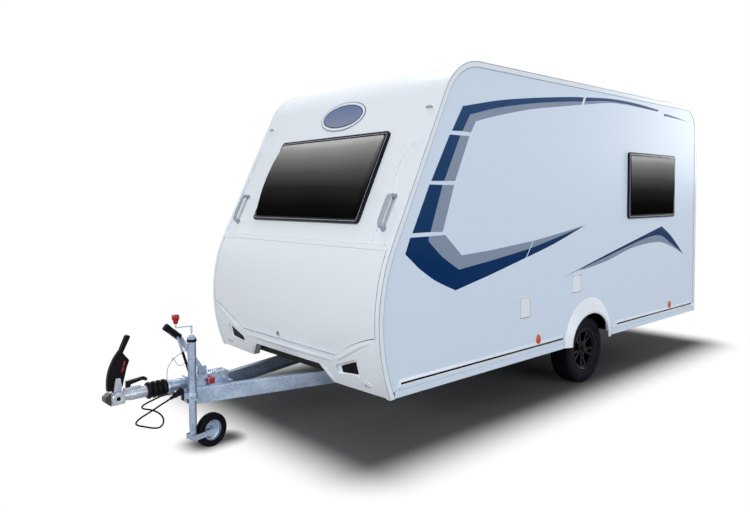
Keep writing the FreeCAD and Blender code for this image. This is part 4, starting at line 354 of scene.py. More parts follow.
def set_world():
    world = bpy.data.worlds.new("studio")
    bpy.context.scene.world = world
    net = Net(world)
    net.nodes.clear()
    seen = net.math("MAXIMUM", net.seen("Camera", "Glossy"),
        net.new("LightPath").outputs["Is Transmission Ray"])
    light = net.new("Background", Color=(*DAYLIGHT, 1), Strength=0.2)
    net.new("OutputWorld", Surface=net.either(seen, light, net.new("Background", Color=(1, 1, 1, 1))))


def area_light(name, place, target, size, power, colour=(1, 1, 1)):
    data = bpy.data.lights.new(name, "AREA")
    data.shape = "RECTANGLE"
    data.size, data.size_y = size
    data.energy = power
    data.color = colour
    lamp = placed(name, data)
    lamp.location = place
    lamp.rotation_mode = "QUATERNION"
    lamp.rotation_quaternion = (Vector(target) - Vector(place)).to_track_quat("-Z", "Y")


def away_from(net, where, centre, half, reach):
    """How far a floor point lies outside a rectangle, from 0 inside it to 1 at the reach."""
    squares = []
    for letter, middle, extent in zip("XY", centre, half):
        shifted = net.math("SUBTRACT", net.axis(where, letter), middle)
        beyond = net.math("SUBTRACT", net.math("ABSOLUTE", shifted), extent)
        outside = net.math("MAXIMUM", beyond, 0.0)
        squares.append(net.math("MULTIPLY", outside, outside))
    fade = net.new("MapRange", Value=net.math("SQRT", net.math("ADD", *squares)), From_Max=reach)
    fade.interpolation_type = "SMOOTHSTEP"
    return fade.outputs["Result"]


# The floor's dark grey is painted shadow round the body and the jockey wheel.
FLOOR_HALF, FLOOR_Z, PAINTED_SHADOW_GREY = 60.0, -0.0006, 0.14


def set_floor():
    """A floor of dark grey round the body and the jockey wheel, which paints shadow there and deepens the
    cast shadows; it fades to white away from them.
    """
    data = bpy.data.meshes.new("floor")
    data.from_pydata([(FLOOR_HALF * x, FLOOR_HALF * y, FLOOR_Z)
        for x, y in ((-1, -1), (1, -1), (1, 1), (-1, 1))], [], [(0, 1, 2, 3)])
    material, net, shader = fresh("studio floor with painted shadow")
    net.put(shader["Base Color"], (PAINTED_SHADOW_GREY, PAINTED_SHADOW_GREY, PAINTED_SHADOW_GREY, 1))
    net.put(shader["Roughness"], 0.9)
    net.put(shader["Specular IOR Level"], 0.0)
    where = net.place()
    # Inside these rectangles round the body and the jockey wheel the grey floor paints shadow; outside them
    # the camera sees white.
    fade = net.math("MINIMUM", away_from(net, where, (-0.62, 0.0), (2.35, 0.98), 0.55),
        away_from(net, where, (2.27, 0.02), (0.1, 0.02), 0.2))
    white = net.math("MULTIPLY", fade, net.seen("Camera", "Glossy"))
    ground = net.either(white, net.nodes["Principled BSDF"], net.new("Emission"))
    net.link(ground, net.nodes["Material Output"].inputs["Surface"])
    data.materials.append(material)
    placed("floor", data)


set_world()
set_floor()
area_light("front", (10.5, 2.5, 3.6), (1.5, 0, 1.4), (6, 2.4), 590)
area_light("side", (-0.4, 10.5, 2.6), (-0.6, 1, 1.2), (10, 2.0), 545, DAYLIGHT)
area_light("far_side", (-0.8, -10.5, 3.0), (-0.5, -1, 1.3), (9, 2.0), 400, DAYLIGHT)
area_light("rear", (-10.5, 1.5, 3.2), (-2.5, 0, 1.3), (6, 2.4), 360)
area_light("top", (-0.8, -1.2, 8.0), (0.2, 0, 0), (5.0, 4.0), 300)
bpy.context.scene.view_settings.view_transform = "Standard"


# Helpers for the pieces

def add(name, made, material, body="caravan", sharp=35.0):
    """A piece from (vertices, faces) given from the axle, smooth but for sharp edges, riding on a body."""
    verts, faces = made
    data = bpy.data.meshes.new(name)
    data.from_pydata([at(*v) for v in verts], [], faces)
    data.validate()
    shell = bmesh.new()
    shell.from_mesh(data)
    bmesh.ops.recalc_face_normals(shell, faces=shell.faces)
    shell.to_mesh(data)
    shell.free()
    data.shade_smooth()
    data.set_sharp_from_angle(angle=radians(sharp))
    piece = placed(name, data)
    data.materials.append(material)
    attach(piece, body)
    return piece


def stand_in(piece, node):
    """A piece that replaces a node: the node is hidden."""
    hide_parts(node)


def soften(item, width):
    """Rounded edges on a CAD node, whose faces are joined first."""
    merge = item.modifiers.new("weld", "WELD")
    merge.merge_threshold = 0.00002
    edge = item.modifiers.new("edges", "BEVEL")
    edge.width = width
    edge.segments = 2
    edge.limit_method = "ANGLE"
    edge.angle_limit = radians(40)


def joined(parts):
    verts, faces = [], []
    for some_verts, some_faces in parts:
        shift = len(verts)
        verts += some_verts
        faces += [tuple(i + shift for i in face) for face in some_faces]
    return verts, faces


def skinned(loops, ring=False):
    """Faces between loops of points, closed by caps, or round a ring."""
    count = len(loops[0])
    verts = [point for loop in loops for point in loop]
    faces = []
    for i in range(len(loops) if ring else len(loops) - 1):
        low, high = i * count, (i + 1) % len(loops) * count
        for k in range(count):
            after = (k + 1) % count
            faces.append((low + k, low + after, high + after, high + k))
    if not ring:
        faces.append(tuple(reversed(range(count))))
        faces.append(tuple(range(len(verts) - count, len(verts))))
    return verts, faces


def turned(profile, place, axis, steps=32, lobes=0, notch=0, ring=False):
    """A solid turned about an axis from (radius, height) points in mm, with notches where asked."""
    axis = Vector(axis).normalized()
    side = axis.orthogonal().normalized()
    across = axis.cross(side)
    place = Vector(place)
    loops = []
    for radius, height in profile:
        loop = []
        for k in range(steps):
            turn = 2 * pi * k / steps
            reach = radius / 1000 * (1 - notch * (0.5 + 0.5 * cos(lobes * turn)) ** 3)
            loop.append(place + axis * (height / 1000) + (side * cos(turn) + across * sin(turn)) * reach)
        loops.append(loop)
    return skinned(loops, ring)


def hex_bolt(place, axis, radius, tall):
    """A hexagon head with a chamfered top on its washer, its radius and height in mm."""
    head = turned([(radius, 1.5), (radius, 0.7 * tall), (0.82 * radius, tall)], place, axis, 6)
    washer = turned([(1.35 * radius, -1), (1.35 * radius, 1.2), (1.2 * radius, 1.6)], place, axis, 20)
    return joined([head, washer])


def oval(half_u, half_v, count=16, power=2.0):
    """Points of a rounded outline, rounder at power 2 and squarer above it."""
    points = []
    for k in range(count):
        turn = 2 * pi * k / count
        c, s = cos(turn), sin(turn)
        points.append((half_u * copysign(abs(c) ** (2 / power), c),
            half_v * copysign(abs(s) ** (2 / power), s)))
    return points


def swept(path, section, away):
    """A section carried along a path. Its second coordinate points away, as near as the path lets it."""
    path = [Vector(point) for point in path]
    loops = []
    for i, point in enumerate(path):
        ahead = (path[min(i + 1, len(path) - 1)] - path[max(i - 1, 0)]).normalized()
        out = Vector(away)
        out = (out - ahead * out.dot(ahead)).normalized()
        across = ahead.cross(out)
        loops.append([point + across * u + out * w for u, w in section])
    return skinned(loops)


def smooth(points, steps=8):
    """A smooth run through the points."""
    out = []
    count = len(points)
    for i in range(count - 1):
        a, b = points[max(i - 1, 0)], points[i]
        c, d = points[i + 1], points[min(i + 2, count - 1)]
        for k in range(steps):
            t = k / steps
            out.append(tuple(0.5 * (2 * q + (r - p) * t + (2 * p - 5 * q + 4 * r - s) * t * t
                + (3 * q - p - 3 * r + s) * t ** 3) for p, q, r, s in zip(a, b, c, d)))
    out.append(tuple(points[-1]))
    return out


FILM = 0.0005


def slab(outline, lift):
    """A closed sheet as thin as film: outline points go to 3-D by lift(point, depth)."""
    loops = [[lift(p, depth) for p in outline] for depth in (0, FILM)]
    count = len(outline)
    tris = tessellate_polygon([[Vector((p[0], p[1], 0)) for p in outline]])
    faces = [tuple(t[::-1]) for t in tris] + [tuple(i + count for i in t) for t in tris]
    faces += [(i, (i + 1) % count, (i + 1) % count + count, i + count) for i in range(count)]
    return loops[0] + loops[1], faces


def rounded(half_u, half_v, radius, steps=5):
    """Outline of a rectangle with rounded corners."""
    points = []
    for quarter, (u, v) in enumerate(((1, 1), (-1, 1), (-1, -1), (1, -1))):
        for k in range(steps + 1):
            turn = pi / 2 * (quarter + k / steps)
            points.append((u * (half_u - radius) + radius * cos(turn), v * (half_v - radius)
                + radius * sin(turn)))
    return points


def on_plane(place, u, v, out):
    """A lift from flat outlines to a plane in space."""
    place, u, v, out = (Vector(item) for item in (place, u, v, out))
    return lambda point, depth: place + u * point[0] + v * point[1] + out * depth


def domed(levels, lift):
    """A stepped or domed plate from (outline, height) levels, lowest first."""
    return skinned([[lift(point, height) for point in outline] for outline, height in levels])


def metres(levels):
    return [[value / 1000 for value in level] for level in levels]


def plate(lift, *levels, steps=5):
    """A plate with rounded corners from (half length, half width, corner radius, height) levels in mm."""
    return domed([(rounded(u, v, radius, steps), height) for u, v, radius, height in metres(levels)], lift)


def dish(lift, count, power, *levels):
    """An oval plate from (half length, half width, height) levels in mm."""
    return domed([(oval(u, v, count, power), height) for u, v, height in metres(levels)], lift)


def on_wall(side, x, z, out):
    """A point of a side wall, so far out of it."""
    return Vector((x, side * (HALF_WIDTH + out), z))


def on_slope(y, z):
    """A lift to the sloping upper front, flat at this place across and this height."""
    return on_plane((front_x(z), y, z), Y, SLOPE_UP, SLOPE_OUT)


def front_x(z, out=0):
    """The front's contour at a height."""
    start = NOSE_HEIGHT + (NOSE_UPPER + out) * sin(SLOPE)
    if z <= start:
        base = NOSE_LOWER if z <= NOSE_HEIGHT else NOSE_UPPER
        return NOSE_REACH - base + sqrt((base + out) ** 2 - (z - NOSE_HEIGHT) ** 2)
    return NOSE_REACH - NOSE_UPPER + (NOSE_UPPER + out) * cos(SLOPE) - (z - start) * tan(SLOPE)


# Side stripes, as outlines of x from the axle and height on the wall

TOP_BLUE = [(1.681, 2.254), (1.29, 2.33), (0.861, 2.39), (0.376, 2.445), (0.128, 2.467)]
TOP_MID = [(0.149, 2.429), (0.376, 2.408), (0.861, 2.348), (1.29, 2.277), (1.608, 2.202)]
TOP_LOW = [(0.163, 2.402), (0.375, 2.373), (0.861, 2.305), (1.29, 2.222), (1.558, 2.158)]
BROW = [(0.194, 1.009), (-0.276, 1.091), (-0.945, 1.209), (-1.322, 1.237), (-1.566, 1.157), (-1.906, 1.012)]


def stripe_shapes():
    """Outlines and materials of all the stripes of one side."""
    fold = [(0.901, 1.232), (1.391, 1.172), (1.728, 1.136), (1.899, 1.236), (2.03, 1.346), (2.027, 1.378)]
    blue = [
        smooth(TOP_BLUE[::-1]) + [(1.686, 2.256), (1.801, 2.078), (1.693, 2.082), (1.611, 2.203)]
        + smooth(TOP_MID[::-1]),
        [(1.822, 2.052), (2.004, 1.739), (1.878, 1.74), (1.715, 2.052)],
        [(2.02, 1.716), (2.179, 1.404), (2.011, 1.405), (1.894, 1.714)],
        [(2.198, 1.377), (2.243, 1.274)] + smooth([(2.126, 1.179), (1.968, 1.083), (1.765, 0.997)])
        + smooth([(1.39, 1.07), (0.95, 1.165)]) + fold,
        smooth([(0.936, 1.168), (0.55, 1.255), (0.087, 1.386)])
        + smooth([(0.087, 1.386), (0.5, 1.305), (0.887, 1.235)])[1:],
        smooth([(0.09, 2.47), (-0.329, 2.499), (-0.817, 2.502), (-1.288, 2.481)])
        + smooth([(-1.251, 2.465), (-0.817, 2.473), (-0.329, 2.475), (0.11, 2.433)]),
        smooth([(-1.405, 2.457), (-1.7, 2.44), (-1.973, 2.413)])
        + smooth([(-1.973, 2.413), (-1.7, 2.428), (-1.394, 2.434)])[1:],
        smooth([(0.442, 0.963), (-0.276, 1.11), (-1.382, 1.326)])
        + smooth([(-1.382, 1.326), (-1.614, 1.212), (-1.906, 1.012)])[1:] + smooth(BROW[::-1])[1:]]
    grey = [
        smooth(TOP_MID) + [(1.611, 2.203), (1.693, 2.082), (1.604, 2.078), (1.551, 2.156)]
        + smooth(TOP_LOW[::-1]),
        [(1.715, 2.052), (1.878, 1.74), (1.768, 1.742), (1.619, 2.053)],
        [(1.894, 1.714), (2.011, 1.405), (1.892, 1.402), (1.779, 1.715)],
        fold[::-1] + [(0.859, 1.289), (1.391, 1.248), (1.699, 1.233), (1.868, 1.38)],
        smooth([(0.887, 1.235), (0.5, 1.305), (0.087, 1.386)])
        + smooth([(0.087, 1.386), (0.5, 1.332), (0.847, 1.29)])[1:],
        smooth([(0.11, 2.433), (-0.329, 2.475), (-0.6, 2.474)])
        + smooth([(-0.6, 2.47), (-0.329, 2.463), (0.124, 2.407)]),
        smooth(BROW) + smooth([(-1.737, 1.074), (-1.34, 1.168), (-0.804, 1.149), (-0.277, 1.053),
                               (0.104, 1.008)])]
    return [(blue, NAVY, "navy"), (grey, SLATE, "slate")]


def part_of(outline, start, end):
    """The part of an outline between two lengthwise positions."""

    def kept(points, limit, sign):
        out = []
        for i, point in enumerate(points):
            last = points[i - 1]
            inside, before = sign * (point[0] - limit) >= 0, sign * (last[0] - limit) >= 0
            if inside != before:
                share = (limit - last[0]) / (point[0] - last[0])
                out.append((limit, last[1] + share * (point[1] - last[1])))
            if inside:
                out.append(point)
        return out

    return kept(kept(outline, start, 1), end, -1)


DOOR_REAR, DOOR_FRONT, DOOR_TOP = 0.6, 1.19, 2.2
DOOR_GAP, FILM_INSET = 0.007, 0.004
FAR = 3.0                  # beyond either end of the cabin
SPANS = {"right": ((-FAR, DOOR_REAR - DOOR_GAP), (DOOR_FRONT + DOOR_GAP, FAR)),
    "door": ((DOOR_REAR + FILM_INSET, DOOR_FRONT - FILM_INSET),)}


def films(outline, tag):
    """A stripe's parts on the left wall, on the right one beside its door, or on the door."""
    middle = part_of(outline, DOOR_REAR - DOOR_GAP, DOOR_FRONT + DOOR_GAP)
    if tag == "left" or all(z > DOOR_TOP for x, z in middle):
        return [outline] if tag != "door" else []
    return [part_of(outline, *span) for span in SPANS[tag]]


for side, tag, body in ((1, "left", "caravan"), (-1, "right", "caravan"), (-1, "door", "door")):
    def lift(point, depth):
        return on_wall(side, *point, depth)

    for outlines, material, word in stripe_shapes():
        pieces = [slab(film, lift) for outline in outlines for film in films(outline, tag) if len(film) > 2]
        add("stripes_%s_%s" % (word, tag), joined(pieces), material, body)


# Rounded edges on the CAD nodes whose edges catch the light

for word, width in (("drawbar_rail_left", 0.004), ("drawbar_rail_right", 0.004), ("overrun_housing", 0.003),
        ("handbrake_lever", 0.0015), ("coupling_head", 0.0015), ("jockey_clamp", 0.002),
        ("stabiliser_handle", 0.003), ("window_frames", 0.003), ("rear_bumper", 0.006), ("rim_left", 0.002),
        ("rim_right", 0.002)):
    soften(NODES[word], width)


# Road wheels

AXLE_HEIGHT, WHEEL_Y, ROAD_RADIUS = 0.295, 0.922, 0.295
PITCHES = 64
TREAD_HALF, GROOVE = 0.066, 0.007
HUB_FACE, BOLT_CIRCLE, BOLTS = 0.984, 0.042, 5


def crowned(across):
    return ROAD_RADIUS - 0.0045 * (across / TREAD_HALF) ** 2


def tread_profile():
    """Half of the tyre's section from its bead to the middle of the tread: (across, radius, slot depth)."""
    wall = metres([(60, 170), (76, 178.5), (76.2, 187), (81.5, 192.5), (85, 196), (86.2, 200), (85, 204),
        (88, 215), (91, 228), (92.5, 240), (91.5, 252), (89.3, 260), (90.5, 262.5), (89.3, 265), (86.8, 270)])
    shoulder = metres([(83.8, 277, 2), (80.5, 282.2, 4), (76.5, 286.5, 6), (71.5, 289.3, 6)])
    shoulder += [(TREAD_HALF, crowned(TREAD_HALF), 0.006), (0.059, crowned(0.059), 0.006)]
    points = [(a, r, 0) for a, r in wall] + shoulder
    for outer, inner in ((0.0524, 0.045), (0.0244, 0.017)):
        points += [(outer, crowned(outer), 0.006 if outer > 0.05 else 0),
            (outer - 0.0008, crowned(outer) - GROOVE, 0), (inner + 0.0008, crowned(inner) - GROOVE, 0),
            (inner, crowned(inner), 0.0045 if inner > 0.03 else 0)]
        if inner > 0.03:
            points += [(0.039, crowned(0.039), 0.0045), (0.033, crowned(0.033), 0.0045),
                (0.0326, crowned(0.0326), 0)]
    return points + [(0.008, crowned(0.008), 0), (0, crowned(0), 0)]


def road_tyre(y):
    half = tread_profile()
    section = [(-a, r, d) for a, r, d in half] + [(a, r, d) for a, r, d in half[-2::-1]]
    pitch = 2 * pi / PITCHES
    loops = []
    for k in range(PITCHES):
        for share, deep in ((0, 0), (0.03, 1.0), (0.2, 1.0), (0.23, 0), (0.62, 0)):
            loop = []
            for across, radius, slot in section:
                turn = pitch * (k + share) + 2.0 * min(abs(across), TREAD_HALF)
                reach = radius - deep * slot
                loop.append(Vector((reach * cos(turn), y + across, AXLE_HEIGHT + reach * sin(turn))))
            loops.append(loop)
    return skinned(loops, True)


def wheel_bolt(side, k):
    turn = radians(126 + 360 / BOLTS * k)
    place = (BOLT_CIRCLE * cos(turn), side * HUB_FACE, AXLE_HEIGHT + BOLT_CIRCLE * sin(turn))
    return hex_bolt(place, (0, side, 0), 8.8, 10)


for side, tag in SIDES:
    wheel = "wheel_" + tag
    tyre = add("road_tyre_" + tag, road_tyre(side * WHEEL_Y), TYRE, wheel, 30)
    stand_in(tyre, "tyre_" + tag)
    cap = turned([(29, -4), (29, 3), (27.5, 4.5), (26.5, 13), (23.5, 15.5), (12, 16.8), (1, 17)],
                 (0, side * HUB_FACE, AXLE_HEIGHT), (0, side, 0), 40)
    add("hub_cap_" + tag, cap, ALLOY_BLACK, wheel)
    add("wheel_bolts_" + tag, joined(wheel_bolt(side, k) for k in range(BOLTS)), DRUM, wheel)


# Jockey wheel tyre

JOCKEY_HUB = Vector((3.0977, 0.0921, 0.11))
JOCKEY_AXIS = Vector((-0.156434, 0.987688, 0))
JOCKEY_STEPS = 96


def jockey_tyre():
    half = metres([(15, 68), (20, 66), (23, 69), (26.2, 75), (29, 84), (30, 92), (29, 99), (26.2, 104),
        (22.2, 107), (18, 108.6), (17.4, 106.6), (15, 106.6), (14.4, 109.3), (6.2, 109.9), (5.6, 107.6),
        (2.8, 107.6), (2.2, 110)])
    section = [(-a, r) for a, r in half] + [(a, r) for a, r in half[::-1]]
    up = Vector(Z)
    side = JOCKEY_AXIS.cross(up).normalized()
    loops = []
    for k in range(JOCKEY_STEPS):
        turn = 2 * pi * k / JOCKEY_STEPS
        out = side * cos(turn) + up * sin(turn)
        loops.append([JOCKEY_HUB + JOCKEY_AXIS * a + out * r for a, r in section])
    return skinned(loops, True)


stand_in(add("jockey_tyre_grooved", jockey_tyre(), TYRE, "jockey_wheel", 30), "jockey_tyre")


# Windows: raised panes with a bevelled edge in the CAD frames

WINDOW_Z = 1.77
PANE_INSET, PANE_EDGE = 0.0343, 0.015
BANDS = 14                 # a pane's long edges are divided so often

# Place, directions across, up and out, half width and half height of each frame.
FRONT_WINDOW = ((front_x(WINDOW_Z), 0, WINDOW_Z), Y, SLOPE_UP, SLOPE_OUT, 0.663, 0.3538)
REAR_WINDOW = ((-2.2, 0, 1.68), Y, Z, (-1, 0, 0), 0.52, 0.28)
SIDE_WINDOWS = [((-1.141, side * HALF_WIDTH, 1.73), X, Z, (0, side, 0), 0.489, 0.31) for side, tag in SIDES]


def bowed_plate(levels, lift):
    """A domed plate whose long edges are divided, so that it can follow a bow, closed by level strips."""
    divided = []
    for outline, height in levels:
        points = []
        for i, point in enumerate(outline):
            after = outline[(i + 1) % len(outline)]
            points.append(point)
            if abs(after[1] - point[1]) > 0.1:
                points += [(point[0] + (after[0] - point[0]) * k / BANDS,
                    point[1] + (after[1] - point[1]) * k / BANDS) for k in range(1, BANDS)]
        divided.append((points, height))
    verts, faces = domed(divided, lift)
    outline = divided[-1][0]
    last = len(verts) - len(outline)
    rows = {}
    for i in sorted(range(len(outline)), key=lambda i: (round(outline[i][1], 6), outline[i][0])):
        rows.setdefault(round(outline[i][1], 6), []).append(last + i)
    ends = [(row[0], row[-1]) for row in rows.values()]
    strips = [tuple(dict.fromkeys((*low, *high[::-1]))) for low, high in zip(ends, ends[1:])]
    return verts, faces[:-1] + strips


def pane(place, u, v, out, half_u, half_v, bow):
    """A pane bowed outwards across its height, on the plane of its frame."""
    u_half, v_half = half_u - PANE_INSET, half_v - PANE_INSET
    flat = on_plane(place, u, v, out)

    def lift(point, height):
        return flat(point, height + (bow * (1.15 - (point[1] / v_half) ** 2) if height > PANE_EDGE else 0))

    levels = metres([(0, 20, 10), (0, 20, 20), (1.5, 18.5, 21.2), (10.5, 10, 23.8), (12, 9, 24)])
    return bowed_plate([(rounded(u_half - inset, v_half - inset, radius), height)
                        for inset, radius, height in levels], lift)


GLAZING = (
    ("front", pane(*FRONT_WINDOW, 0.036), PANE),
    ("sides", joined(pane(*window, 0.0075) for window in SIDE_WINDOWS), SIDE_PANE),
    ("rear", pane(*REAR_WINDOW, 0.008), REAR_PANE))
for tag, made, material in GLAZING:
    stand_in(add("glazing_" + tag, made, material, sharp=25), "window_panes")


def frame_line(place, u, v, out, half_u, half_v):
    """A thin bead round a window frame's face."""
    lift = on_plane(place, u, v, out)
    levels = metres([(15, 19), (15, 21.2), (19, 21.2), (19, 19)])
    return skinned([[lift(p, height) for p in rounded(half_u - inset, half_v - inset, 0.03 - inset)]
        for inset, height in levels], True)


add("window_frame_lines", joined(frame_line(*window)
    for window in (FRONT_WINDOW, REAR_WINDOW, *SIDE_WINDOWS)), GREY_GRIP)


# Front: blank badge, grab handles, lock, bumper details

BADGE = (
    ("foot", BADGE_BLUE, ((266, 131, -4), (266, 131, 3.5), (260, 125, 4))),
    ("rim", WHITE_TRIM, ((258, 123, 2), (258, 123, 5), (253, 118, 6.6), (243, 108, 6.6), (240, 105, 5.5))),
    ("line", BADGE_RING, ((238, 103, 3), (238, 103, 6.8), (236, 101, 7))),
    ("blank", BADGE_BLUE, ((229, 94, 4), (229, 94, 7.4), (150, 62, 8.6), (20, 10, 9))))
for word, material, levels in BADGE:
    add("badge_" + word, dish(on_slope(0.02, 2.26), 64, 2.0, *levels), material)

GRAB_LOW, GRAB_LONG, GRAB_Y = 1.432, 0.23, 0.915


def grab_handle(side):
    root = Vector((front_x(GRAB_LOW, -0.007), side * GRAB_Y, GRAB_LOW))
    path = smooth(metres([(0, 0), (1, 22), (10, 43), (32, 52), (72, 53), (115, 54), (158, 53), (198, 52),
                          (220, 43), (229, 22), (230, 0)]), 5)
    points = [root + SLOPE_UP * u + SLOPE_OUT * w for u, w in path]
    section = oval(0.017, 0.012, 20, 2.8)
    loops = []
    across = Vector(Y)
    for i, point in enumerate(points):
        ahead = (points[min(i + 1, len(points) - 1)] - points[max(i - 1, 0)]).normalized()
        loops.append([point + across * a + ahead.cross(across) * b for a, b in section])
    feet = [turned([(21.2, 0), (21.2, 4), (18.5, 7.5), (15, 11)], root + SLOPE_UP * u, SLOPE_OUT, 28)
        for u in (0, GRAB_LONG)]
    return skinned(loops), joined(feet)


for side, tag in SIDES:
    bow, feet = grab_handle(side)
    stand_in(add("grab_handle_" + tag, bow, GREY_GRIP), "grab_handles")
    add("grab_feet_" + tag, feet, SEAM_GREY)

MARKER_Z, MARKER_Y = 2.2323, 0.962
for side, tag in SIDES:
    seat = on_slope(side * MARKER_Y, MARKER_Z)
    cover = dish(seat, 32, 2.4, (32, 11.8, 4), (32, 11.8, 11), (30, 10.4, 15), (24, 7.6, 17.6), (10, 3, 18.6))
    stand_in(add("front_marker_" + tag, cover, LAMP_CLEAR), "front_marker_lamps")
    foot = dish(seat, 32, 2.6, (36, 15, -2), (36, 15, 3.5), (34, 13.5, 5))
    add("front_marker_foot_" + tag, foot, WHITE_TRIM)

LOCK_Y, LOCK_Z, STRIP_PROUD, LOCK_PROUD = -0.072, 0.629, 0.003, 0.009
lock_face = (front_x(LOCK_Z, STRIP_PROUD) + LOCK_PROUD, LOCK_Y, LOCK_Z)
# The lock's grey ring on the white lid paints the shade round the lock's boss.
add("locker_lock_shade_ring", turned([(20, -2), (20, 1.5), (18.5, 2.8), (13.5, 2.8), (12, 1.2)], lock_face, X, 36),
    GREY_GRIP, "locker_lid")
add("locker_keyhole", turned([(7.5, -1), (7.5, 3), (6.6, 3.6), (3, 3.2)], lock_face, X, 24), DRUM,
    "locker_lid")


def crown(y):
    return 0.003 + 0.024 * (1 - (y / 1.02) ** 2)


def on_bumper(point, depth):
    """A point of the bumper's crowned face from its place across and its height."""
    y, z = point
    return Vector((front_x(z, crown(y) + depth), y, z))


RECESS = ((0.598, 0.458), (0.829, 0.48), (0.829, 0.604), (0.598, 0.52))
RECESS_MID = (0.735, 0.517)


def recess_insert(side, share, low, high):
    mid_y, mid_z = RECESS_MID
    outline = [(side * (mid_y + share * (y - mid_y)), mid_z + share * (z - mid_z)) for y, z in RECESS]
    return domed([(outline, low), (outline, high)], on_bumper)


SOCKET_Y, SOCKET_Z = 0.871, 0.439


def lamp_ring(side):
    """Oval socket with a bolt low on the bumper."""

    def lift(point, depth):
        return on_bumper((side * SOCKET_Y + point[0], SOCKET_Z + point[1]), depth)

    rim = dish(lift, 40, 2.0, (43, 23, -2), (43, 23, 3), (41, 21, 4.2), (38, 18.5, 4))
    line = dish(lift, 40, 2.0, (37.5, 18, 2), (37.5, 18, 4.6))
    face = dish(lift, 40, 2.0, (34.5, 15, 3), (34.5, 15, 5.6), (30, 12, 6.4))
    return joined([rim, face]), line, hex_bolt(lift((0, 0), 0.006), X, 8, 6)


ROLL_SECTION = ((-1, -0.5), (-0.85, 0.05), (-0.5, 0.75), (0, 1.0), (0.5, 0.75), (0.85, 0.05), (1, -0.5))


def roll(points, half, tall):
    """A rounded bead along a line on the bumper."""
    line = smooth(points)
    loops = []
    for i, (y, z) in enumerate(line):
        y0, z0 = line[max(i - 1, 0)]
        y1, z1 = line[min(i + 1, len(line) - 1)]
        long = hypot(y1 - y0, z1 - z0)
        v, w = -(z1 - z0) / long, (y1 - y0) / long
        fade = min(1.0, 0.15 + 3.0 * min(i, len(line) - 1 - i) / len(line))
        loops.append([on_bumper((y + v * half * a, z + w * half * a), tall * fade * b)
            for a, b in ROLL_SECTION])
    return skinned(loops)


for side, tag in SIDES:
    add("recess_insert_" + tag, recess_insert(side, 0.7, -0.016, -0.0125), BLACK_PLASTIC)
    socket, line, bolt = lamp_ring(side)
    add("bumper_socket_" + tag, socket, WHITE_MOULDING)
    add("bumper_socket_line_" + tag, line, GREY_GRIP)
    add("bumper_bolt_" + tag, bolt, GREY_GRIP)
    add("bumper_roll_" + tag, roll([(side * y, z) for y, z in ((0.61, 0.562), (0.7, 0.602), (0.8, 0.655),
        (0.9, 0.706), (0.995, 0.74))], 0.016, 0.009), WHITE_MOULDING)
    add("intake_ridge_" + tag, roll([(side * y, z) for y, z in ((0.437, 0.494), (0.48, 0.45),
        (0.545, 0.388))], 0.009, 0.004), WHITE_MOULDING)
add("bumper_roll_front", roll([(y, 0.551) for y in (-0.575, -0.3, 0, 0.3, 0.575)], 0.02, 0.009),
    WHITE_MOULDING)
# A black plate behind the intake opening: painted shade inside the intake.
shade_plate_outline = [(-0.425, 0.5), (0.425, 0.5), (0.505, 0.42), (-0.505, 0.42)]
add("intake_shade_plate", domed([(shade_plate_outline, -0.07), (shade_plate_outline, -0.066)], on_bumper), BLACK_PLASTIC)
BEAD_Z = 1.3375
bead = [(front_x(BEAD_Z, 0.001), y, BEAD_Z) for y in (-0.985, -0.97, -0.5, 0, 0.5, 0.97, 0.985)]
add("hinge_bead", swept(bead, oval(0.0055, 0.0045, 16), SLOPE_OUT), WHITE_TRIM)


# Seam line between the side walls and their corner profiles, and a grey line at the profiles' outer edge that
# paints their shade

REAR_OVERHANG, REAR_RADIUS, ROOF_RADIUS = 2.2, 0.255, 0.39
PROFILE_WIDTH, PROFILE_FOOT = 0.036, 0.38


def corner_run(out):
    """The cabin's contour seen from the side, from the front foot over the roof to the rear foot."""
    bend_z = ROOF - ROOF_RADIUS
    slope_end = bend_z + ROOF_RADIUS * sin(SLOPE)
    bend_x = front_x(slope_end) - ROOF_RADIUS * cos(SLOPE)
    heights = [PROFILE_FOOT + (slope_end - PROFILE_FOOT) * k / 40 for k in range(40)]
    points = [(front_x(z, out), z) for z in heights]
    for k in range(15):
        turn = SLOPE + (pi / 2 - SLOPE) * k / 14
        points.append((bend_x + (ROOF_RADIUS + out) * cos(turn), bend_z + (ROOF_RADIUS + out) * sin(turn)))
    for k in range(13):
        turn = pi / 2 * (1 + k / 12)
        points.append((REAR_RADIUS - REAR_OVERHANG + (REAR_RADIUS + out) * cos(turn), ROOF - REAR_RADIUS
            + (REAR_RADIUS + out) * sin(turn)))
    return points + [(-REAR_OVERHANG - out, PROFILE_FOOT)]


def seam_line(side, out, wide, low, high):
    inner, outer = corner_run(out - wide / 2), corner_run(out + wide / 2)
    loops = []
    for (xa, za), (xb, zb) in zip(inner, outer):
        loops.append([on_wall(side, xa, za, low), on_wall(side, xb, zb, low), on_wall(side, xb, zb, high),
            on_wall(side, xa, za, high)])
    return skinned(loops)


for side, tag in SIDES:
    add("profile_seam_" + tag, seam_line(side, -PROFILE_WIDTH - 0.0026, 0.005, -0.001, 0.0012), SEAM_GREY)
    # A grey line along the wall's outer edge: painted shade of the rounded profile.
    add("profile_edge_shade_" + tag, seam_line(side, -0.001, 0.0045, 0.003, 0.0046), SEAM_GREY)


# Side skirts: moulding strip with its black insert, and screws

def strip(low, high, proud, start, end, side, deep=0.004):
    """A slightly rounded bar along a side wall."""
    ease = 0.3 * (high - low)
    section = [(low, -deep), (low, proud * 0.55), (low + ease, proud), (high - ease, proud),
        (high, proud * 0.55), (high, -deep)]
    loops = []
    for x in (start, start + 0.004, end - 0.004, end):
        shrink = 0.6 if x in (start, end) else 1.0
        loops.append([on_wall(side, x, z, w * shrink if w > 0 else w) for z, w in section])
    return skinned(loops)


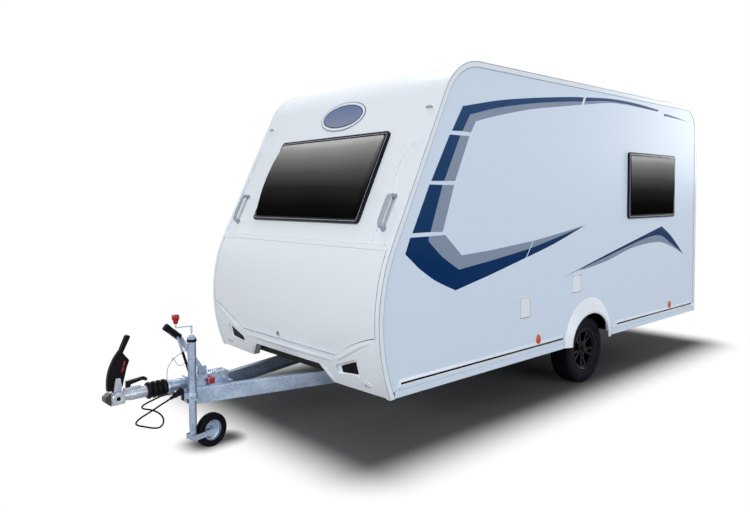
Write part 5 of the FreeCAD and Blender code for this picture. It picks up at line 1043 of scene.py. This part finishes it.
RUNS = ((0.425, 2.3), (-2.113, -0.455))
for side, tag in SIDES:
    add("skirt_strip_" + tag, joined(strip(0.44, 0.484, 0.0078, a, b, side) for a, b in RUNS), WHITE_TRIM)
    add("skirt_insert_" + tag, joined(strip(0.4505, 0.4725, 0.0092, a + 0.006, b - 0.006, side, 0.001)
        for a, b in RUNS), BLACK_PLASTIC)
    screws = [hex_bolt((x, side * 1.0555, z), (0, side, 0), 4.5, 3.5)
        for x, z in ((-0.47, 0.436), (0.44, 0.43), (2.3, 0.432), (1.25, 0.43), (-1.3, 0.43))]
    add("skirt_screws_" + tag, joined(screws), BRIGHT_STEEL)


# Door handle and flap locks

HANDLE_X, HANDLE_FACE = 0.655, -1.0655


def on_door(z):
    """A lift to the door's face, lengthwise up it from this height."""
    return on_plane((HANDLE_X, HANDLE_FACE, z), Z, X, (0, -1, 0))


add("door_handle_plate", plate(on_door(1.21), (82, 22, 12, -14), (82, 22, 12, 4), (78, 18, 10, 7.5),
    (60, 12, 8, 9)), FRAME_BLACK, "door")
add("door_handle_grip", plate(on_door(1.222), (50, 10, 8, 8), (50, 10, 8, 11.5), (47, 7, 6, 14)),
    BLACK_PLASTIC, "door")
add("door_lock", turned([(8.5, 4), (8.5, 10), (7, 11.2), (2, 10.8)], (HANDLE_X, HANDLE_FACE, 1.155),
    (0, -1, 0), 24), BRIGHT_STEEL, "door")

FLAP_FACE = 1.053
for body, x, lock_z, pin_z in (("front_flap", 0.956, 0.732, 0.857), ("rear_flap", 0.222, 0.852, 0.967)):
    lock = turned([(10, -1), (10, 1.8), (8.5, 3), (5.5, 3), (4.5, 1.8)], (x, FLAP_FACE, lock_z), Y, 24)
    add("lock_" + body, lock, WHITE_TRIM, body)
    add("flap_pin_" + body, turned([(2.2, -40), (2.2, 40)], (x, FLAP_FACE - 0.001, pin_z), X, 12), WHITE_TRIM)


# Rear lamps in three colours, and a blank plate

LAMP_Y, LAMP_HALF, LAMP_SIDE, LAMP_FACE, RIDGE = 0.955, 0.0545, -2.226, -2.2355, 0.0008
REAR_WALL = -2.2


def lens(side, low, high, ridges):
    """One colour of a rear lamp, with fine ridges across it."""
    loops = []
    steps = 2 * ridges
    for k in range(steps + 1):
        z = low + (high - low) * k / steps
        proud = LAMP_FACE + (RIDGE if k % 2 else 0)
        ends = 0.004 if k in (0, steps) else 0
        section = ((-LAMP_HALF, LAMP_SIDE), (-LAMP_HALF + 0.009, proud), (LAMP_HALF - 0.009, proud),
            (LAMP_HALF, LAMP_SIDE))
        loop = [(-LAMP_HALF, REAR_WALL), *((y, x + ends) for y, x in section), (LAMP_HALF, REAR_WALL)]
        loops.append([Vector((x, side * LAMP_Y + y, z)) for y, x in loop])
    return skinned(loops)


LENSES = (("red", LAMP_RED, 0.8015, 0.925, 16), ("clear", LAMP_CLEAR, 0.928, 0.995, 9),
    ("orange", LAMP_ORANGE, 0.998, 1.075, 10), ("brake", LAMP_RED, 1.078, 1.1985, 16))
for side, tag in SIDES:
    for word, material, low, high, ridges in LENSES:
        stand_in(add("rear_lens_%s_%s" % (word, tag), lens(side, low, high, ridges), material, sharp=20),
            "rear_lamps")
    base = plate(on_plane((REAR_WALL, side * LAMP_Y, 1.0), Z, Y, (-1, 0, 0)), (200, 54.8, 10, 0),
        (200, 54.8, 10, 12))
    add("rear_lamp_base_" + tag, base, FRAME_BLACK)
add("blank_plate", plate(on_plane((-2.23, 0, 0.475), Y, Z, (-1, 0, 0)), (260, 55, 8, -1), (260, 55, 8, 2.2),
    (257, 52, 6, 3)), WHITE_TRIM)


# Hitch: knobs, grip, covers, caps and bolts

add("crank_knob", turned([(12, 0), (14.5, 3), (15, 16), (17.8, 20), (18.5, 24), (23.2, 30), (23.8, 42),
    (23, 52), (20.5, 57.5), (12, 59.5), (2, 60)], (3.341, 0.114, 0.8475), Z, 48, 8, 0.05), RED_PLASTIC)
add("clamp_knob", turned([(12.5, -4), (14, 0), (27, 4), (29.5, 12), (28.8, 24), (24, 31), (13, 34),
    (3, 34.5)], (3.08, 0.046, 0.43), Y, 60, 5, 0.16), RED_PLASTIC)

LEVER_NECK = Vector((3.283, 0, 0.728))
LEVER_TILT = radians(41)
ALONG = Vector((cos(LEVER_TILT), 0, sin(LEVER_TILT)))
UPWARD = Vector((-ALONG.z, 0, ALONG.x))
GRIP_START = LEVER_NECK - ALONG * 0.009 - UPWARD * 0.0045


def grip_sleeve():
    loops = []
    for s, size_share in ((-0.002, 0.9), (0, 1.0), (0.006, 1.06), (0.02, 1.02), (0.05, 1.05), (0.08, 1.02),
            (0.104, 1.06), (0.12, 1.1), (0.126, 1.02), (0.13, 0.7)):
        middle = GRIP_START + ALONG * s + UPWARD * 0.019
        loops.append([middle + Vector(Y) * a + UPWARD * b
            for a, b in oval(0.0175 * size_share, 0.0215 * size_share, 28, 3.6)])
    return skinned(loops)


add("lever_grip", grip_sleeve(), BLACK_PLASTIC)
strut_low = Vector((3.208, 0.024, 0.4813))
strut = GRIP_START + ALONG * 0.018 + UPWARD * 0.009 + Vector((0, 0.024, 0)) - strut_low
long = strut.length
add("strut_cover", turned([(7, 0), (8.7, 2), (8.7, 620 * long), (7, 630 * long)], strut_low, strut, 24),
    BLACK_PLASTIC)
add("jockey_collar", turned([(28.8, 0), (30, 0), (31.4, 2), (31.4, 14), (30, 16), (28.8, 16)],
    (3.236, 0.114, 0.72), Z, 40, ring=True), BLACK_PLASTIC)
PADS = (
    ("caps", BLACK_PLASTIC, 0.0462, 28, [(12.5, -3), (12.5, 3), (10.5, 4.8), (3, 5.2)]),
    ("bosses", BRIGHT_STEEL, 0.044, 44, [(37, -6), (37, 1), (35, 3), (22.5, 4), (20.5, 2.6), (11, 2.6)]))
for word, material, out, steps, profile in PADS:
    add("pad_" + word, joined(turned(profile, (3.677, side * out, 0.428), (0, side, 0), steps)
                              for side, tag in SIDES), material)
bolts = [hex_bolt((x, y, 0.47), Z, 8.5, 8) for x in (2.975, 3.045) for y in (0.03, -0.03)]
bolts += [hex_bolt((2.975, side * 0.0462, 0.425), (0, side, 0), 8.5, 8) for side, tag in SIDES]
add("housing_bolts", joined(bolts), BRIGHT_STEEL)


# Red marks on the stabiliser handle, and the hook that holds the lever's spring

marks = []
for side, tag in SIDES:
    for x, z in ((3.63, 0.627), (3.639, 0.592)):
        lift = on_plane((x, side * 0.016, z), (-0.35, 0, 0.94), (0.94, 0, 0.35), (0, side, 0))
        marks.append(plate(lift, (15, 5, 2, -0.5), (15, 5, 2, 0.7), (14.2, 4.2, 1.5, 1), steps=3))
edge_low, edge_high = Vector((3.633, 0, 0.699)), Vector((3.591, 0, 0.782))
marks.append(swept([edge_low, edge_low.lerp(edge_high, 0.35), edge_low.lerp(edge_high, 0.7), edge_high],
    oval(0.005, 0.0012, 12), (-0.89, 0, -0.45)))
add("handle_marks", joined(marks), RED_PLASTIC)
hook = smooth([(3.226, 0.004, 0.574), (3.24, 0.006, 0.556), (3.258, 0.008, 0.549), (3.276, 0.008, 0.552),
    (3.29, 0.008, 0.566), (3.304, 0.008, 0.59), (3.314, 0.008, 0.606), (3.322, 0.008, 0.6),
    (3.318, 0.008, 0.588)], 6)
add("spring_hook", swept(hook, oval(0.0016, 0.0016, 8), Y), DRUM)
